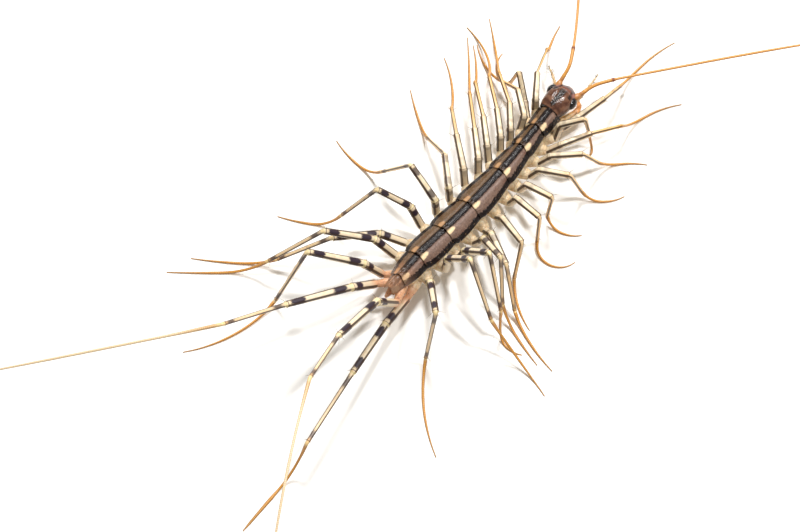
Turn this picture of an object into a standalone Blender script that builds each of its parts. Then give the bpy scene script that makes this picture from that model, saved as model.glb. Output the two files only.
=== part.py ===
"""House centipede, life size, caught in mid stride as a still museum model.

The body lies along +Y with the head forward, its left side towards -X, and its feet on the floor.
Sizes below are in millimetres; MM turns them into Blender's metres when a mesh is made.
Headings are degrees from straight ahead towards the leg's own side: 0 forward, 90 outward, 180 back.
Pitches are degrees above the horizontal.
"""
import math

import bmesh
import bpy
from mathutils import Vector

MM = 0.001

# Driving sizes of the trunk
TRUNK_LENGTH = 24.7
MAX_HALF_WIDTH = 1.74
NECK_HALF_WIDTH = 1.1
NECK_BREADTH = 1.14
WIDEST_AT = 15.0
TAIL_REACH = 11.5
BELLY_HEIGHT = 1.3
BACK_HEIGHT = 4.4
BACK_SLOPE = 0.3
CORE_INSET = 0.3
SPINE_BOW = 0.55
BOW_LENGTH = 20.0
JOINT_GAP = 0.3

# The eight back plates: the station of each hind margin, behind the head
PLATE_MARGINS = (0.0, 2.0, 4.9, 8.2, 12.9, 16.5, 20.3, 23.1, 24.7)
PLATE_DOME = 1.0
PLATE_THICKNESS = 0.34
PLATE_TUCK = 0.14
PLATE_LIFT = 0.16
TRUNK_CUTS = (8.55, 16.1)

# Head, measured from its rear margin forward
HEAD_X = -0.17
HEAD_REAR_Y = 0.37
HEAD_LENGTH = 3.5
EYE_STATION = 2.05
EYE_HALF_LENGTH = 0.55
EYE_HALF_HEIGHT = 0.5
EYE_SOCKET_X = 1.05
EYE_BULGE = 0.27
ANTENNA_X = 1.15
ANTENNA_BASE_Y = 2.75

# Legs
LEG_PAIRS = 15
LEG_SIDES = 8
HIP_HEIGHT = 2.0
HIP_INSET = 0.1
BOSS_RADIUS = 0.4
BOSS_LENGTH = 0.65
COXA_LENGTH = 0.55
COXA_RADIUS = 0.4
MAX_FORWARD_LEAN = -35
MAX_BACKWARD_LEAN = 50
LEAN_SHARE = 0.6
HIND_PAIR = 14
HIND_ROOTS = {14: (22.5, 1.15, 1.4), 15: (24.0, 0.8, 2.6)}
HIND_COXA_HEADINGS = {(-1, 14): 125, (1, 14): 170, (-1, 15): 135, (1, 15): 160}
HIND_COXA_LENGTH = 0.9
HIND_COXA_RADIUS = 0.34
HIND_STRETCH = (1.1, 1.03, 1.08)
FEELER_RADIUS = 0.25
TIP_RADIUS = 0.1
LANDING_SHARE = 0.45

# Leg poses, by pair: heading and pitch of prefemur, femur and tibia, then the tarsus's length on the
# floor and its first and last heading. A held tarsus adds its first and last pitch.
LEFT_POSES = (
    ((45, 85), (35, -5), (20, -15), (4.5, 30, 10)),
    ((45, 5), (55, 45), (95, -75), (4.5, 100, 0)),
    ((5, 70), (50, -5), (75, -40), (5.5, 80, 50)),
    ((40, 80), (40, -10), (55, -5), (8.0, 40, 50)),
    ((40, 70), (45, -5), (50, -5), (8.0, 30, 80)),
    ((50, 60), (45, -5), (50, -5), (6.0, 30, 50)),
    ((40, 70), (45, -5), (45, -10), (8.0, 37, 43)),
    ((50, 65), (50, 5), (45, -30), (7.0, 30, 60)),
    ((80, 85), (45, -5), (65, -40), (6.0, 60, 50)),
    ((80, 85), (80, 30), (100, -55), (6.5, 100, 70)),
    ((85, 55), (125, 45), (135, -55), (6.5, 130, 110)),
    ((120, 25), (145, 20), (135, -35), (8.5, 130, 120)),
    ((110, 45), (135, 30), (140, -40), (10.0, 133, 127)),
    ((140, 60), (135, 35), (155, -65), (10.5, 180, 140)),
    ((165, 45), (155, 20), (170, 40), (32.0, 142, 137, 0, -10)),
)
RIGHT_POSES = (
    ((20, 20), (20, 20), (-5, -35), (8.5, -10, 20)),
    ((0, 70), (60, 40), (25, -80), (2.0, 80, 220)),
    ((50, 45), (30, 5), (25, -20), (7.5, 0, 40)),
    ((55, 55), (55, 15), (30, -60), (5.0, 30, 60)),
    ((70, 65), (70, 15), (50, -70), (4.5, 80, 20)),
    ((90, 70), (90, 20), (225, -85), (4.0, 110, 40)),
    ((95, 70), (100, 15), (155, -85), (5.5, 150, 10)),
    ((120, 60), (110, 15), (160, -65), (5.5, 140, 110)),
    ((120, 55), (120, 10), (125, -50), (7.0, 120, 100)),
    ((90, 65), (115, 35), (135, -60), (6.5, 115, 105)),
    ((105, 75), (90, 50), (125, -45), (4.0, 150, 60)),
    ((95, 85), (95, 55), (115, -45), (8.0, 90, 110)),
    ((135, 65), (135, 35), (170, -75), (10.0, 150, 120)),
    ((175, 10), (170, 10), (170, 5), (9.5, 182, 178)),
    ((195, 55), (175, 30), (160, 40), (26.0, 153, 147, 15, -30)),
)

# Tarsi that pass under a neighbour's come down sooner than the rest, and those that pass over, later
LANDINGS = {("left", 2): 0.3, ("left", 3): 0.7, ("left", 4): 0.8, ("left", 5): 1.0, ("right", 12): 0.85}

# Antennae: distance from the base, heading and pitch there
LEFT_ANTENNA = ((0, -5, 30), (1.2, 12, 20), (2.5, 26, 6), (5, 32, -3), (10, 35, -4), (24, 40, -3), (38, 45, 0))
RIGHT_ANTENNA = ((0, 10, 10), (1.3, 26, 15), (2.8, 36, 6), (5, 38, -1), (13, 37, -3), (24, 38, -4), (38, 32, 0))
ANTENNA_STEPS = 22
LEFT_PALP = ((0, 50, 15), (1.0, 52, 0), (3.2, 58, -15))
RIGHT_PALP = ((0, 10, 15), (1.0, 2, 14), (4.0, -6, 0))
PALP_X = 1.05
PALP_Y = 2.75
PALP_Z = 2.0

# Base colour, roughness
COLOURS = {
    "head": ((0.16, 0.06, 0.03), 0.3),
    "eye": ((0.01, 0.01, 0.012), 0.2),
    "antenna": ((0.55, 0.26, 0.08), 0.45),
    "mouth": ((0.62, 0.42, 0.22), 0.45),
    "trunk": ((0.17, 0.1, 0.07), 0.4),
    "tail": ((0.6, 0.3, 0.14), 0.45),
    "leg": ((0.72, 0.6, 0.4), 0.45),
}


def clear_scene():
    for obj in list(bpy.data.objects):
        bpy.data.objects.remove(obj, do_unlink=True)


def material(kind, name):
    colour, roughness = COLOURS[kind]
    made = bpy.data.materials.new(name)
    made.use_nodes = True
    shader = made.node_tree.nodes["Principled BSDF"]
    shader.inputs["Base Color"].default_value = (*colour, 1.0)
    shader.inputs["Roughness"].default_value = roughness
    shader.inputs["Metallic"].default_value = 0.0
    return made


def mesh_object(name, points, faces, kind):
    """A closed mesh object from points in millimetres, its faces turned outwards."""
    mesh = bpy.data.meshes.new(name)
    mesh.from_pydata([Vector(p) * MM for p in points], [], faces)
    work = bmesh.new()
    work.from_mesh(mesh)
    bmesh.ops.recalc_face_normals(work, faces=work.faces)
    work.to_mesh(mesh)
    work.free()
    mesh.materials.append(material(kind, name))
    obj = bpy.data.objects.new(name, mesh)
    bpy.context.scene.collection.objects.link(obj)
    return obj


def loft(name, rings, kind):
    """Joins rings of equal counts into one closed body, each ring turned to meet the last one best."""
    count = len(rings[0])
    points = list(rings[0])
    faces = []
    last = list(range(count))
    for ring in rings[1:]:
        before = [points[i] for i in last]
        turn = min(range(count), key=lambda t: sum(
            (before[k] - ring[(k + t) % count]).length_squared for k in range(count)))
        first = len(points)
        points.extend(ring)
        now = [first + (k + turn) % count for k in range(count)]
        for k in range(count):
            n = (k + 1) % count
            faces.append((last[k], last[n], now[n], now[k]))
        last = now
    faces.append(tuple(range(count)))
    faces.append(tuple(reversed(last)))
    return mesh_object(name, points, faces, kind)


def union(name, pieces):
    """Fuses closed mesh objects into the first one and removes the others."""
    body = pieces[0]
    others = bpy.data.collections.new(name + "_pieces")
    bpy.context.scene.collection.children.link(others)
    for piece in pieces[1:]:
        others.objects.link(piece)
    modifier = body.modifiers.new("Fuse", "BOOLEAN")
    modifier.operation = "UNION"
    modifier.operand_type = "COLLECTION"
    modifier.collection = others
    modifier.solver = "EXACT"
    apply_modifiers(body)
    for piece in pieces[1:]:
        bpy.data.objects.remove(piece, do_unlink=True)
    bpy.data.collections.remove(others)
    body.name = name
    return body


def cut(body, cutter):
    """Takes the cutter out of the body and removes the cutter."""
    modifier = body.modifiers.new("Cut", "BOOLEAN")
    modifier.operation = "DIFFERENCE"
    modifier.object = cutter
    modifier.solver = "EXACT"
    apply_modifiers(body)
    bpy.data.objects.remove(cutter, do_unlink=True)


def apply_modifiers(obj):
    bpy.context.view_layer.update()
    evaluated = obj.evaluated_get(bpy.context.evaluated_depsgraph_get())
    mesh = bpy.data.meshes.new_from_object(evaluated)
    obj.modifiers.clear()
    obj.data = mesh
    keep_largest(mesh)


def keep_largest(mesh):
    """Leaves only the largest closed surface of a mesh."""
    work = bmesh.new()
    work.from_mesh(mesh)
    bmesh.ops.remove_doubles(work, verts=work.verts, dist=1e-7)
    bmesh.ops.dissolve_degenerate(work, edges=work.edges, dist=1e-7)
    unseen = set(work.faces)
    islands = []
    while unseen:
        start = unseen.pop()
        island = [start]
        front = [start]
        while front:
            face = front.pop()
            for edge in face.edges:
                for other in edge.link_faces:
                    if other in unseen:
                        unseen.remove(other)
                        island.append(other)
                        front.append(other)
        islands.append(island)
    islands.sort(key=len, reverse=True)
    scraps = [face for island in islands[1:] for face in island]
    if scraps:
        bmesh.ops.delete(work, geom=scraps, context="FACES")
    work.to_mesh(mesh)
    work.free()


def spine_x(station):
    """Sideways place of the mid line, a station millimetres behind the head."""
    if station <= 0:
        return SPINE_BOW * math.pi / BOW_LENGTH * station
    if station >= BOW_LENGTH:
        return 0.0
    return SPINE_BOW * math.sin(math.pi * station / BOW_LENGTH)


def half_width(station):
    """Half the width of the back plates at a station."""
    if station < WIDEST_AT:
        growth = (1 - math.cos(math.pi * max(station, 0) / WIDEST_AT)) / 2
        return NECK_HALF_WIDTH + (MAX_HALF_WIDTH - NECK_HALF_WIDTH) * growth
    fall = ((station - WIDEST_AT) / TAIL_REACH) ** 1.5
    return MAX_HALF_WIDTH * math.cos(math.pi / 2 * fall)


def back_height(station):
    """Height of the back's mid line, lower towards head and tail."""
    middle = TRUNK_LENGTH / 2
    return BACK_HEIGHT - BACK_SLOPE * ((station - middle) / middle) ** 2


def hip_station(pair):
    """Station of a leg's base: closer together in front, wider apart behind the middle."""
    share = (pair - 1) / (LEG_PAIRS - 1)
    return 0.2 + 24.1 * share - 1.1 * math.sin(math.pi * min(share, 0.8) / 0.8)


def direction(side, heading, pitch=0.0):
    heading = math.radians(heading)
    pitch = math.radians(pitch)
    level = math.cos(pitch)
    return Vector((side * math.sin(heading) * level, math.cos(heading) * level, math.sin(pitch)))


def ring(centre, normal, radius, sides, last_side=None):
    """A regular ring across a path, with a flat underneath where the path is level."""
    across = normal.cross(Vector((0, 0, 1)))
    if across.length < 0.05:
        across = last_side - normal * last_side.dot(normal)
    across.normalize()
    upward = across.cross(normal).normalized()
    points = []
    for k in range(sides):
        angle = 2 * math.pi * (k + 0.5) / sides + math.pi / 2
        points.append(centre + (across * math.cos(angle) + upward * math.sin(angle)) * radius)
    return points, across


def tube(name, stations, sides, kind):
    """A closed tube through stations of centre, path direction and radius."""
    rings = []
    across = Vector((1, 0, 0))
    for centre, normal, radius in stations:
        points, across = ring(centre, normal, radius, sides, across)
        rings.append(points)
    return loft(name, rings, kind)


def path_stations(points, radii):
    """Ring stations along a smooth path, square to it."""
    stations = []
    for k, point in enumerate(points):
        ahead = points[min(k + 1, len(points) - 1)]
        behind = points[max(k - 1, 0)]
        stations.append((point, (ahead - behind).normalized(), radii[k]))
    return stations


def feeler_path(start, knots, side, steps):
    """A path whose heading and pitch run evenly from each knot to the next."""
    length = knots[-1][0]
    points = [start]
    for k in range(steps):
        distance = length * (k + 0.5) / steps
        for near, far in zip(knots, knots[1:]):
            if distance <= far[0]:
                break
        share = (distance - near[0]) / (far[0] - near[0])
        heading = near[1] + (far[1] - near[1]) * share
        pitch = near[2] + (far[2] - near[2]) * share
        points.append(points[-1] + direction(side, heading, pitch) * (length / steps))
    return points


def feeler_radius(share, thick=FEELER_RADIUS):
    """Thickness along a feeler: even at first, then down to a fine tip."""
    taper_from = 0.5
    if share <= taper_from:
        return thick
    return thick + (TIP_RADIUS - thick) * (share - taper_from) / (1 - taper_from)


def leg_lengths(pair):
    """Lengths of prefemur, femur and tibia, growing towards the tail."""
    share = (pair - 1) / (LEG_PAIRS - 1)
    stretch = HIND_STRETCH if pair >= HIND_PAIR else (1, 1, 1)
    plain = 2.1 + 1.6 * share ** 2.4, 3.1 + 4.0 * share ** 3, 3.4 + 5.3 * share ** 2
    return [length * factor for length, factor in zip(plain, stretch)]


def leg_radii(pair):
    """Start and end radii of prefemur, femur and tibia."""
    stout = 1 + 0.12 * (pair - 1) / (LEG_PAIRS - 1)
    return (0.4 * stout, 0.38 * stout), (0.36 * stout, 0.3 * stout), (0.27 * stout, 0.25)


def coxa_direction(side, pair, pose):
    """The coxa leans part of the way towards its prefemur's heading; the last two pairs' lean far back."""
    if pair >= HIND_PAIR:
        return direction(side, HIND_COXA_HEADINGS[side, pair])
    lean = LEAN_SHARE * (pose[0][0] - 90)
    return direction(side, 90 + max(MAX_FORWARD_LEAN, min(MAX_BACKWARD_LEAN, lean)))


def coxa_root(side, pair):
    """The point where the trunk's boss ends and the gap to the coxa begins."""
    if pair in HIND_ROOTS:
        station, reach, height = HIND_ROOTS[pair]
    else:
        station, height = hip_station(pair), HIP_HEIGHT
        reach = half_width(station) - HIP_INSET
    return Vector((spine_x(station) + side * reach, -station, height))


def tarsus_points(side, ankle, tarsus, landing, steps, sides):
    """The tarsus comes down from the ankle and then lies along the floor, its underside at floor level."""
    length, first, last = tarsus[:3]
    stations = []
    place = Vector((ankle.x, ankle.y, 0))
    for k in range(steps + 1):
        share = k / steps
        heading = first + (last - first) * share
        if k:
            middle = first + (last - first) * (share - 0.5 / steps)
            place = place + direction(side, middle) * (length / steps)
        radius = feeler_radius(share)
        rest = radius * math.cos(math.pi / sides)
        remaining = max(0.0, 1 - share / landing)
        height = rest + (ankle.z - rest) * remaining ** 2
        fall = -2 * (ankle.z - rest) * remaining / landing / length
        normal = (direction(side, heading) + Vector((0, 0, fall))).normalized()
        stations.append((Vector((place.x, place.y, height)), normal, radius))
    return stations


def held_tarsus_points(side, ankle, tarsus, steps):
    """A tarsus held clear of the floor."""
    length, first, last, first_pitch, last_pitch = tarsus
    points = feeler_path(ankle, ((0, first, first_pitch), (length, last, last_pitch)), side, steps)
    return path_stations(points, [feeler_radius(k / steps) for k in range(steps + 1)])


def bend(corner, before, after, radius_in, radius_out):
    """Three ring stations that round a leg joint."""
    turn = before.angle(after)
    back_off = max(0.3, radius_in * math.tan(min(turn, 2.4) / 2) + 0.06)
    ahead = max(0.3, radius_out * math.tan(min(turn, 2.4) / 2) + 0.06)
    middle = (before + after).normalized()
    neck = min(radius_in, radius_out) * 0.95
    return [
        (corner - before * back_off, before, radius_in),
        (corner, middle, neck),
        (corner + after * ahead, after, radius_out),
    ]


def leg_stations(side, pair, pose, landing):
    """All ring stations of one leg, from the coxa's flat inner face to the tip of the tarsus."""
    outward = coxa_direction(side, pair, pose)
    coxa_length = HIND_COXA_LENGTH if pair >= HIND_PAIR else COXA_LENGTH
    coxa_radius = HIND_COXA_RADIUS if pair >= HIND_PAIR else COXA_RADIUS
    start = coxa_root(side, pair) + outward * JOINT_GAP
    hip = start + outward * coxa_length
    corners = [hip]
    headings = [outward]
    for (heading, pitch), length in zip(pose[:3], leg_lengths(pair)):
        step = direction(side, heading, pitch)
        headings.append(step)
        corners.append(corners[-1] + step * length)
    radii = leg_radii(pair)
    stations = [(start, outward, coxa_radius)]
    stations += bend(corners[0], headings[0], headings[1], coxa_radius, radii[0][0])
    stations += bend(corners[1], headings[1], headings[2], radii[0][1], radii[1][0])
    stations += bend(corners[2], headings[2], headings[3], radii[1][1], radii[2][0])
    ankle = corners[3]
    tarsus = pose[3]
    if len(tarsus) > 3:
        tail = held_tarsus_points(side, ankle, tarsus, 16)
    else:
        tail = tarsus_points(side, ankle, tarsus, landing, 9, LEG_SIDES)
    stations.append((ankle - headings[3] * 0.3, headings[3], radii[2][1]))
    stations.append((ankle, (headings[3] + tail[0][1]).normalized(), FEELER_RADIUS))
    return stations + tail[1:]


def build_legs():
    for side, word, poses in ((-1, "left", LEFT_POSES), (1, "right", RIGHT_POSES)):
        for pair in range(1, LEG_PAIRS + 1):
            name = f"leg_{word}_{pair:02d}"
            landing = LANDINGS.get((word, pair), LANDING_SHARE)
            tube(name, leg_stations(side, pair, poses[pair - 1], landing), LEG_SIDES, "leg")


def trunk_core():
    """The body under the plates: pale flanks and belly, tucked under the plates' edges."""
    stations = (-0.07, 0.6, 3.0, 6.0, 9.0, 12.0, 15.0, 18.0, 20.5, 22.5, 23.9, TRUNK_LENGTH)
    outline = ((0.0, 0.0), (0.55, 0.04), (1.0, 0.3), (1.0, 0.55), (0.8, 0.8), (0.42, 0.9))
    rings = []
    for station in stations:
        width = max(half_width(station) - CORE_INSET - (0.15 if station > 23 else 0), 0.3)
        top = back_height(station)
        rise = min(1.0, 0.8 + 0.3 * (TRUNK_LENGTH - station))
        low = BELLY_HEIGHT + (1 - rise) * 1.5
        points = []
        for across, up in outline:
            points.append((width * across, low + (top - low) * up))
        profile = points + [(-x, z) for x, z in reversed(points[1:])]
        centre = spine_x(station)
        rings.append([Vector((centre + x, -station, z)) for x, z in profile])
    return loft("trunk_core", rings, "trunk")


def back_plate(number):
    """One domed plate: tucked low in front, lifted behind over the front of the next."""
    front = PLATE_MARGINS[number - 1] + (0.0 if number > 1 else 0.02)
    rear = PLATE_MARGINS[number]
    length = rear - front
    rings = []
    for share, breadth in ((0.0, 0.9), (0.2, 0.98), (0.55, 1.03), (0.8, 1.04), (0.93, 0.97), (1.0, 0.84)):
        station = front + length * share
        if number == 1:
            breadth = max(breadth, NECK_BREADTH - 0.1 * share ** 2)
        width = half_width(front + length * min(share, 0.85)) * breadth
        height = back_height(station) - PLATE_TUCK + (PLATE_TUCK + PLATE_LIFT) * share
        upper = []
        lower = []
        for across in (-1.0, -0.82, -0.5, -0.18, 0.18, 0.5, 0.82, 1.0):
            fall = PLATE_DOME * abs(across) ** 2.2
            upper.append((width * across, height - fall))
        for across in (0.86, 0.4, -0.4, -0.86):
            fall = PLATE_DOME * abs(across) ** 2.2
            lower.append((width * across, height - fall - PLATE_THICKNESS))
        centre = spine_x(station)
        rings.append([Vector((centre + x, -station, z)) for x, z in upper + lower])
    return loft(f"plate_{number}", rings, "trunk")


def leg_boss(side, pair, pose):
    """The flank's socket for a coxa, with a flat end square to it."""
    outward = coxa_direction(side, pair, pose)
    end = coxa_root(side, pair)
    start = end - outward * BOSS_LENGTH
    radius = HIND_COXA_RADIUS if pair >= HIND_PAIR else BOSS_RADIUS
    ends = [(start, outward, radius), (end, outward, radius)]
    return tube(f"boss_{side}_{pair}", ends, LEG_SIDES, "trunk")


def block(name, near, far):
    """A plain box between two stations, used to pick out one length of the trunk."""
    reach = 6.0
    points = []
    for y in (-far, -near):
        for x, z in ((-reach, -1), (reach, -1), (reach, 8), (-reach, 8)):
            points.append((x, y, z))
    faces = ((0, 1, 2, 3), (7, 6, 5, 4), (0, 4, 5, 1), (1, 5, 6, 2), (2, 6, 7, 3), (3, 7, 4, 0))
    return mesh_object(name, points, faces, "trunk")


def build_trunk():
    pieces = [trunk_core()]
    pieces += [back_plate(number) for number in range(1, len(PLATE_MARGINS))]
    for side, poses in ((-1, LEFT_POSES), (1, RIGHT_POSES)):
        for pair in range(1, LEG_PAIRS + 1):
            pieces.append(leg_boss(side, pair, poses[pair - 1]))
    whole = union("trunk_whole", pieces)
    half = JOINT_GAP / 2
    ends = (-2.0, *TRUNK_CUTS, TRUNK_LENGTH + 2.0)
    for name, near, far in zip(("trunk_front", "trunk_middle", "trunk_rear"), ends, ends[1:]):
        part = bpy.data.objects.new(name, whole.data.copy())
        bpy.context.scene.collection.objects.link(part)
        part.data.materials.clear()
        part.data.materials.append(material("trunk", name))
        picker = block("picker", near + half, far - half)
        modifier = part.modifiers.new("Pick", "BOOLEAN")
        modifier.operation = "INTERSECT"
        modifier.object = picker
        modifier.solver = "EXACT"
        apply_modifiers(part)
        bpy.data.objects.remove(picker, do_unlink=True)
    bpy.data.objects.remove(whole, do_unlink=True)


def build_telson():
    """The small last segment behind the plates."""
    rings = []
    for back, width, low, high in ((0.3, 0.42, 2.9, 3.9), (0.7, 0.4, 2.95, 3.8), (1.1, 0.25, 3.1, 3.6)):
        station = TRUNK_LENGTH + back
        profile = []
        for k in range(8):
            angle = 2 * math.pi * (k + 0.5) / 8
            profile.append((width * math.cos(angle), (low + high) / 2 + (high - low) / 2 * math.sin(angle)))
        rings.append([Vector((x, -station, z)) for x, z in profile])
    loft("telson", rings, "tail")


def head_point(x, y, z):
    """A point of the head, from its own mid line and its distance ahead of the rear margin."""
    return Vector((HEAD_X + x, HEAD_REAR_Y + y, z))


def build_head():
    """A low dome with flat eye seats, two antenna sockets and the mouthparts beneath."""
    profile = (
        (0.0, 1.1, 2.35, 3.85), (0.35, 1.25, 2.2, 4.1), (1.2, 1.4, 2.1, 4.3), (2.1, 1.44, 2.1, 4.25),
        (2.8, 1.27, 2.15, 3.95), (3.25, 0.88, 2.3, 3.6), (HEAD_LENGTH, 0.45, 2.5, 3.3),
    )
    rings = []
    for y, width, low, high in profile:
        points = []
        for k in range(14):
            angle = 2 * math.pi * (k + 0.5) / 14
            across = math.copysign(abs(math.cos(angle)) ** 0.85, math.cos(angle))
            up = math.copysign(abs(math.sin(angle)) ** 0.85, math.sin(angle))
            points.append(head_point(width * across, y, (low + high) / 2 + (high - low) / 2 * up))
        rings.append(points)
    pieces = [loft("head", rings, "head")]
    for side in (-1, 1):
        pieces.append(antenna_socket(side))
    pieces.append(mouth_block())
    head = union("head", pieces)
    for side in (-1, 1):
        cut(head, eye_seat(side))


def antenna_axis(side):
    knots = LEFT_ANTENNA if side < 0 else RIGHT_ANTENNA
    return direction(side, knots[0][1], knots[0][2])


def antenna_socket(side):
    forward = antenna_axis(side)
    start = head_point(side * (ANTENNA_X - 0.1), ANTENNA_BASE_Y - 0.6, 3.1)
    end = antenna_root(side)
    ends = [(start, forward, 0.32), (end, forward, 0.3)]
    return tube(f"socket_{side}", ends, LEG_SIDES, "head")


def antenna_root(side):
    return head_point(side * ANTENNA_X, ANTENNA_BASE_Y, 3.25) + antenna_axis(side) * 0.3


def mouth_block():
    """The mouthparts under the front of the head, which carry the palps."""
    rings = []
    for y, width, low, high in ((1.2, 0.55, 1.75, 2.6), (2.4, 0.62, 1.7, 2.7), (3.3, 0.4, 1.9, 2.8)):
        corners = ((-width, low), (width, low), (width * 1.1, high), (-width * 1.1, high))
        rings.append([head_point(x, y, z) for x, z in corners])
    return loft("mouth", rings, "head")


def eye_seat(side):
    """The cutter for the flat that an eye sits against."""
    near, far = EYE_SOCKET_X, EYE_SOCKET_X + 1.0
    y_low, y_high = EYE_STATION - EYE_HALF_LENGTH - 0.3, EYE_STATION + EYE_HALF_LENGTH + 0.3
    points = []
    for x in sorted((side * near, side * far)):
        for y, z in ((y_low, 2.3), (y_high, 2.3), (y_high, 4.6), (y_low, 4.6)):
            points.append(head_point(x, y, z))
    faces = ((0, 1, 2, 3), (7, 6, 5, 4), (0, 4, 5, 1), (1, 5, 6, 2), (2, 6, 7, 3), (3, 7, 4, 0))
    return mesh_object("seat", points, faces, "head")


def build_eye(side, word):
    """A low dome on a flat back, facing sideways."""
    rings = []
    for rise, size in ((0.0, 1.0), (0.4, 0.93), (0.75, 0.7), (1.0, 0.32)):
        x = side * (EYE_SOCKET_X + JOINT_GAP + EYE_BULGE * rise)
        points = []
        for k in range(10):
            angle = 2 * math.pi * k / 10
            y = EYE_STATION + EYE_HALF_LENGTH * size * math.cos(angle)
            z = 3.3 + EYE_HALF_HEIGHT * size * math.sin(angle)
            points.append(head_point(x, y, z))
        rings.append(points)
    loft(f"eye_{word}", rings, "eye")


def build_antenna(side, word):
    knots = LEFT_ANTENNA if side < 0 else RIGHT_ANTENNA
    start = antenna_root(side) + antenna_axis(side) * JOINT_GAP
    points = feeler_path(start, knots, side, ANTENNA_STEPS)
    radii = [feeler_radius(k / ANTENNA_STEPS) for k in range(ANTENNA_STEPS + 1)]
    tube(f"antenna_{word}", path_stations(points, radii), 6, "antenna")


def build_palp(side, word):
    """A slender jointed palp that reaches out from the mouthparts."""
    start = head_point(side * PALP_X, PALP_Y, PALP_Z)
    knots = LEFT_PALP if side < 0 else RIGHT_PALP
    points = feeler_path(start, knots, side, 5)
    radii = (0.22, 0.25, 0.23, 0.2, 0.15, TIP_RADIUS)
    tube(f"palp_{word}", path_stations(points, radii), 6, "mouth")


def build_forcipule(side, word):
    """A poison claw: out from under the neck, forward beside the head and in to a point below the mouth."""
    path = ((0.5, 0.0, 1.35), (0.8, 0.6, 1.25), (1.25, 1.6, 1.1), (1.5, 2.5, 1.1), (1.42, 3.2, 1.1), (1.0, 3.6, 1.1),
            (0.5, 3.7, 1.1))
    radii = (0.36, 0.38, 0.38, 0.34, 0.27, 0.18, TIP_RADIUS)
    points = [head_point(side * x, y, z) for x, y, z in path]
    tube(f"forcipule_{word}", path_stations(points, radii), LEG_SIDES, "mouth")


def settle():
    """Moves everything so that the origin is under the middle of the whole, on the floor."""
    solids = [obj for obj in bpy.data.objects if obj.type == "MESH"]
    low = Vector((1, 1, 1)) * 1e9
    high = -low
    for obj in solids:
        for vertex in obj.data.vertices:
            low = Vector(map(min, low, vertex.co))
            high = Vector(map(max, high, vertex.co))
    shift = Vector(((low.x + high.x) / 2, (low.y + high.y) / 2, low.z))
    for obj in solids:
        for vertex in obj.data.vertices:
            vertex.co -= shift
        obj.data.update()


def main():
    clear_scene()
    build_trunk()
    build_telson()
    build_head()
    for side, word in ((-1, "left"), (1, "right")):
        build_eye(side, word)
        build_antenna(side, word)
        build_palp(side, word)
        build_forcipule(side, word)
    build_legs()
    settle()


main()
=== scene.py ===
"""A life-size, still house centipede as a museum model: plates, flesh, limbs, bristles and a pale stage.

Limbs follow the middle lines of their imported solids. The back plates, flanks and head follow the trunk's own
named sizes, which are in millimetres here; MM turns them into metres. A station is how far behind the neck a
place lies.
"""
import math

import bmesh
import bpy
import numpy as np
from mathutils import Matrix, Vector


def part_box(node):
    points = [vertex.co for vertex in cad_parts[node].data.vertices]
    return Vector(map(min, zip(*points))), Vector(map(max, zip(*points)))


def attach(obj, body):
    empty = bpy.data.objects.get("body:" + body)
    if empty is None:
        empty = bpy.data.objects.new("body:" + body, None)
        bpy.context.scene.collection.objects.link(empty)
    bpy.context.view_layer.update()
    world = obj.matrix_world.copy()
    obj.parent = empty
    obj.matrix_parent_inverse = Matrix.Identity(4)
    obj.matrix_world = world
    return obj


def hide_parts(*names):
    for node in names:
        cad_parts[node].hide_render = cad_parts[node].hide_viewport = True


bl_info = {
    "name": "House Centipede Model",
    "version": (1, 0, 0),
    "blender": (4, 5, 0),
    "location": "View3D > Sidebar > Centipede",
    "description": "Builds the shell, flesh, limbs and bristles of a life-size house centipede",
    "category": "Object",
}

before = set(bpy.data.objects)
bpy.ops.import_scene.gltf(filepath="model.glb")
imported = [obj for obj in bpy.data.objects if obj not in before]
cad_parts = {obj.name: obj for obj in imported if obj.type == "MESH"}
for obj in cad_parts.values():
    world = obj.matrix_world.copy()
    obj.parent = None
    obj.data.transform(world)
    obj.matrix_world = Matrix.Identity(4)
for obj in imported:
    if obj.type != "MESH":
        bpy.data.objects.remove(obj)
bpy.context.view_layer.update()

MM = 0.001
BODY = "root"
SIDES = ((-1, "left"), (1, "right"))
LEG_PAIRS = 15

# The trunk's named sizes. The plates' hind margins lie up to half a millimetre behind those of the solids
TRUNK_LENGTH = 24.7
PLATE_MARGINS = (0.0, 2.1, 4.9, 8.4, 13.2, 16.9, 20.6, 23.4, 24.9)
MIDDLE_TRUNK_FRONT = 8.7
BELLY_HEIGHT = 1.3
BACK_HEIGHT = 4.4
BACK_SLOPE = 0.3
NECK_HALF_WIDTH = 1.1
WIDEST_HALF_WIDTH = 1.74
WIDEST_STATION = 15.0
TAPER_LENGTH = 11.5
NECK_BREADTH = 1.14
PLATE_DOME = 1.0
SPINE_BOW = 0.55
BOW_LENGTH = 20.0
HEAD_X = -0.17
HEAD_REAR_Y = 0.37

# The first of the hind pairs, which have thinner bases and pale tarsi
HIND_PAIRS = 14

# Where a leg's rings have its joints: coxa, prefemur, femur, tibia, tarsus
LEG_JOINTS = (0, 2, 5, 8, 11)
LEG_SIDES = 8
FEELER_SIDES = 6

# The photograph's point of view
VIEW_AZIMUTH = 39.4
VIEW_ELEVATION = 65.0
VIEW_DISTANCE = 320.0
VIEW_TARGET = (-3.47, -18.876, -5.641)
VIEW_LENS = 144.0
SENSOR_WIDTH = 36.0

# How far red, green and blue light travel inside pale shell, compared with each other
SOFT_COLOURS = (1.0, 0.55, 0.3)

# Widths of the patches of the baked map, one for each bristle
PATCH = 0.003

# Cell size at which the mouthparts are joined
MOUTH_CELL = 0.00007

# Values at a tube's two poles that a finish doesn't use
NO_POLES = ((0, 0, 0), (0, 0, 0))

# Radii of the bristles at their roots, in metres
SPUR_RADIUS = 0.000022
HAIR_RADIUS = 0.00001
ANTENNA_HAIR_RADIUS = 0.000008
MOUTH_BRISTLE_RADIUS = 0.000011

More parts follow.
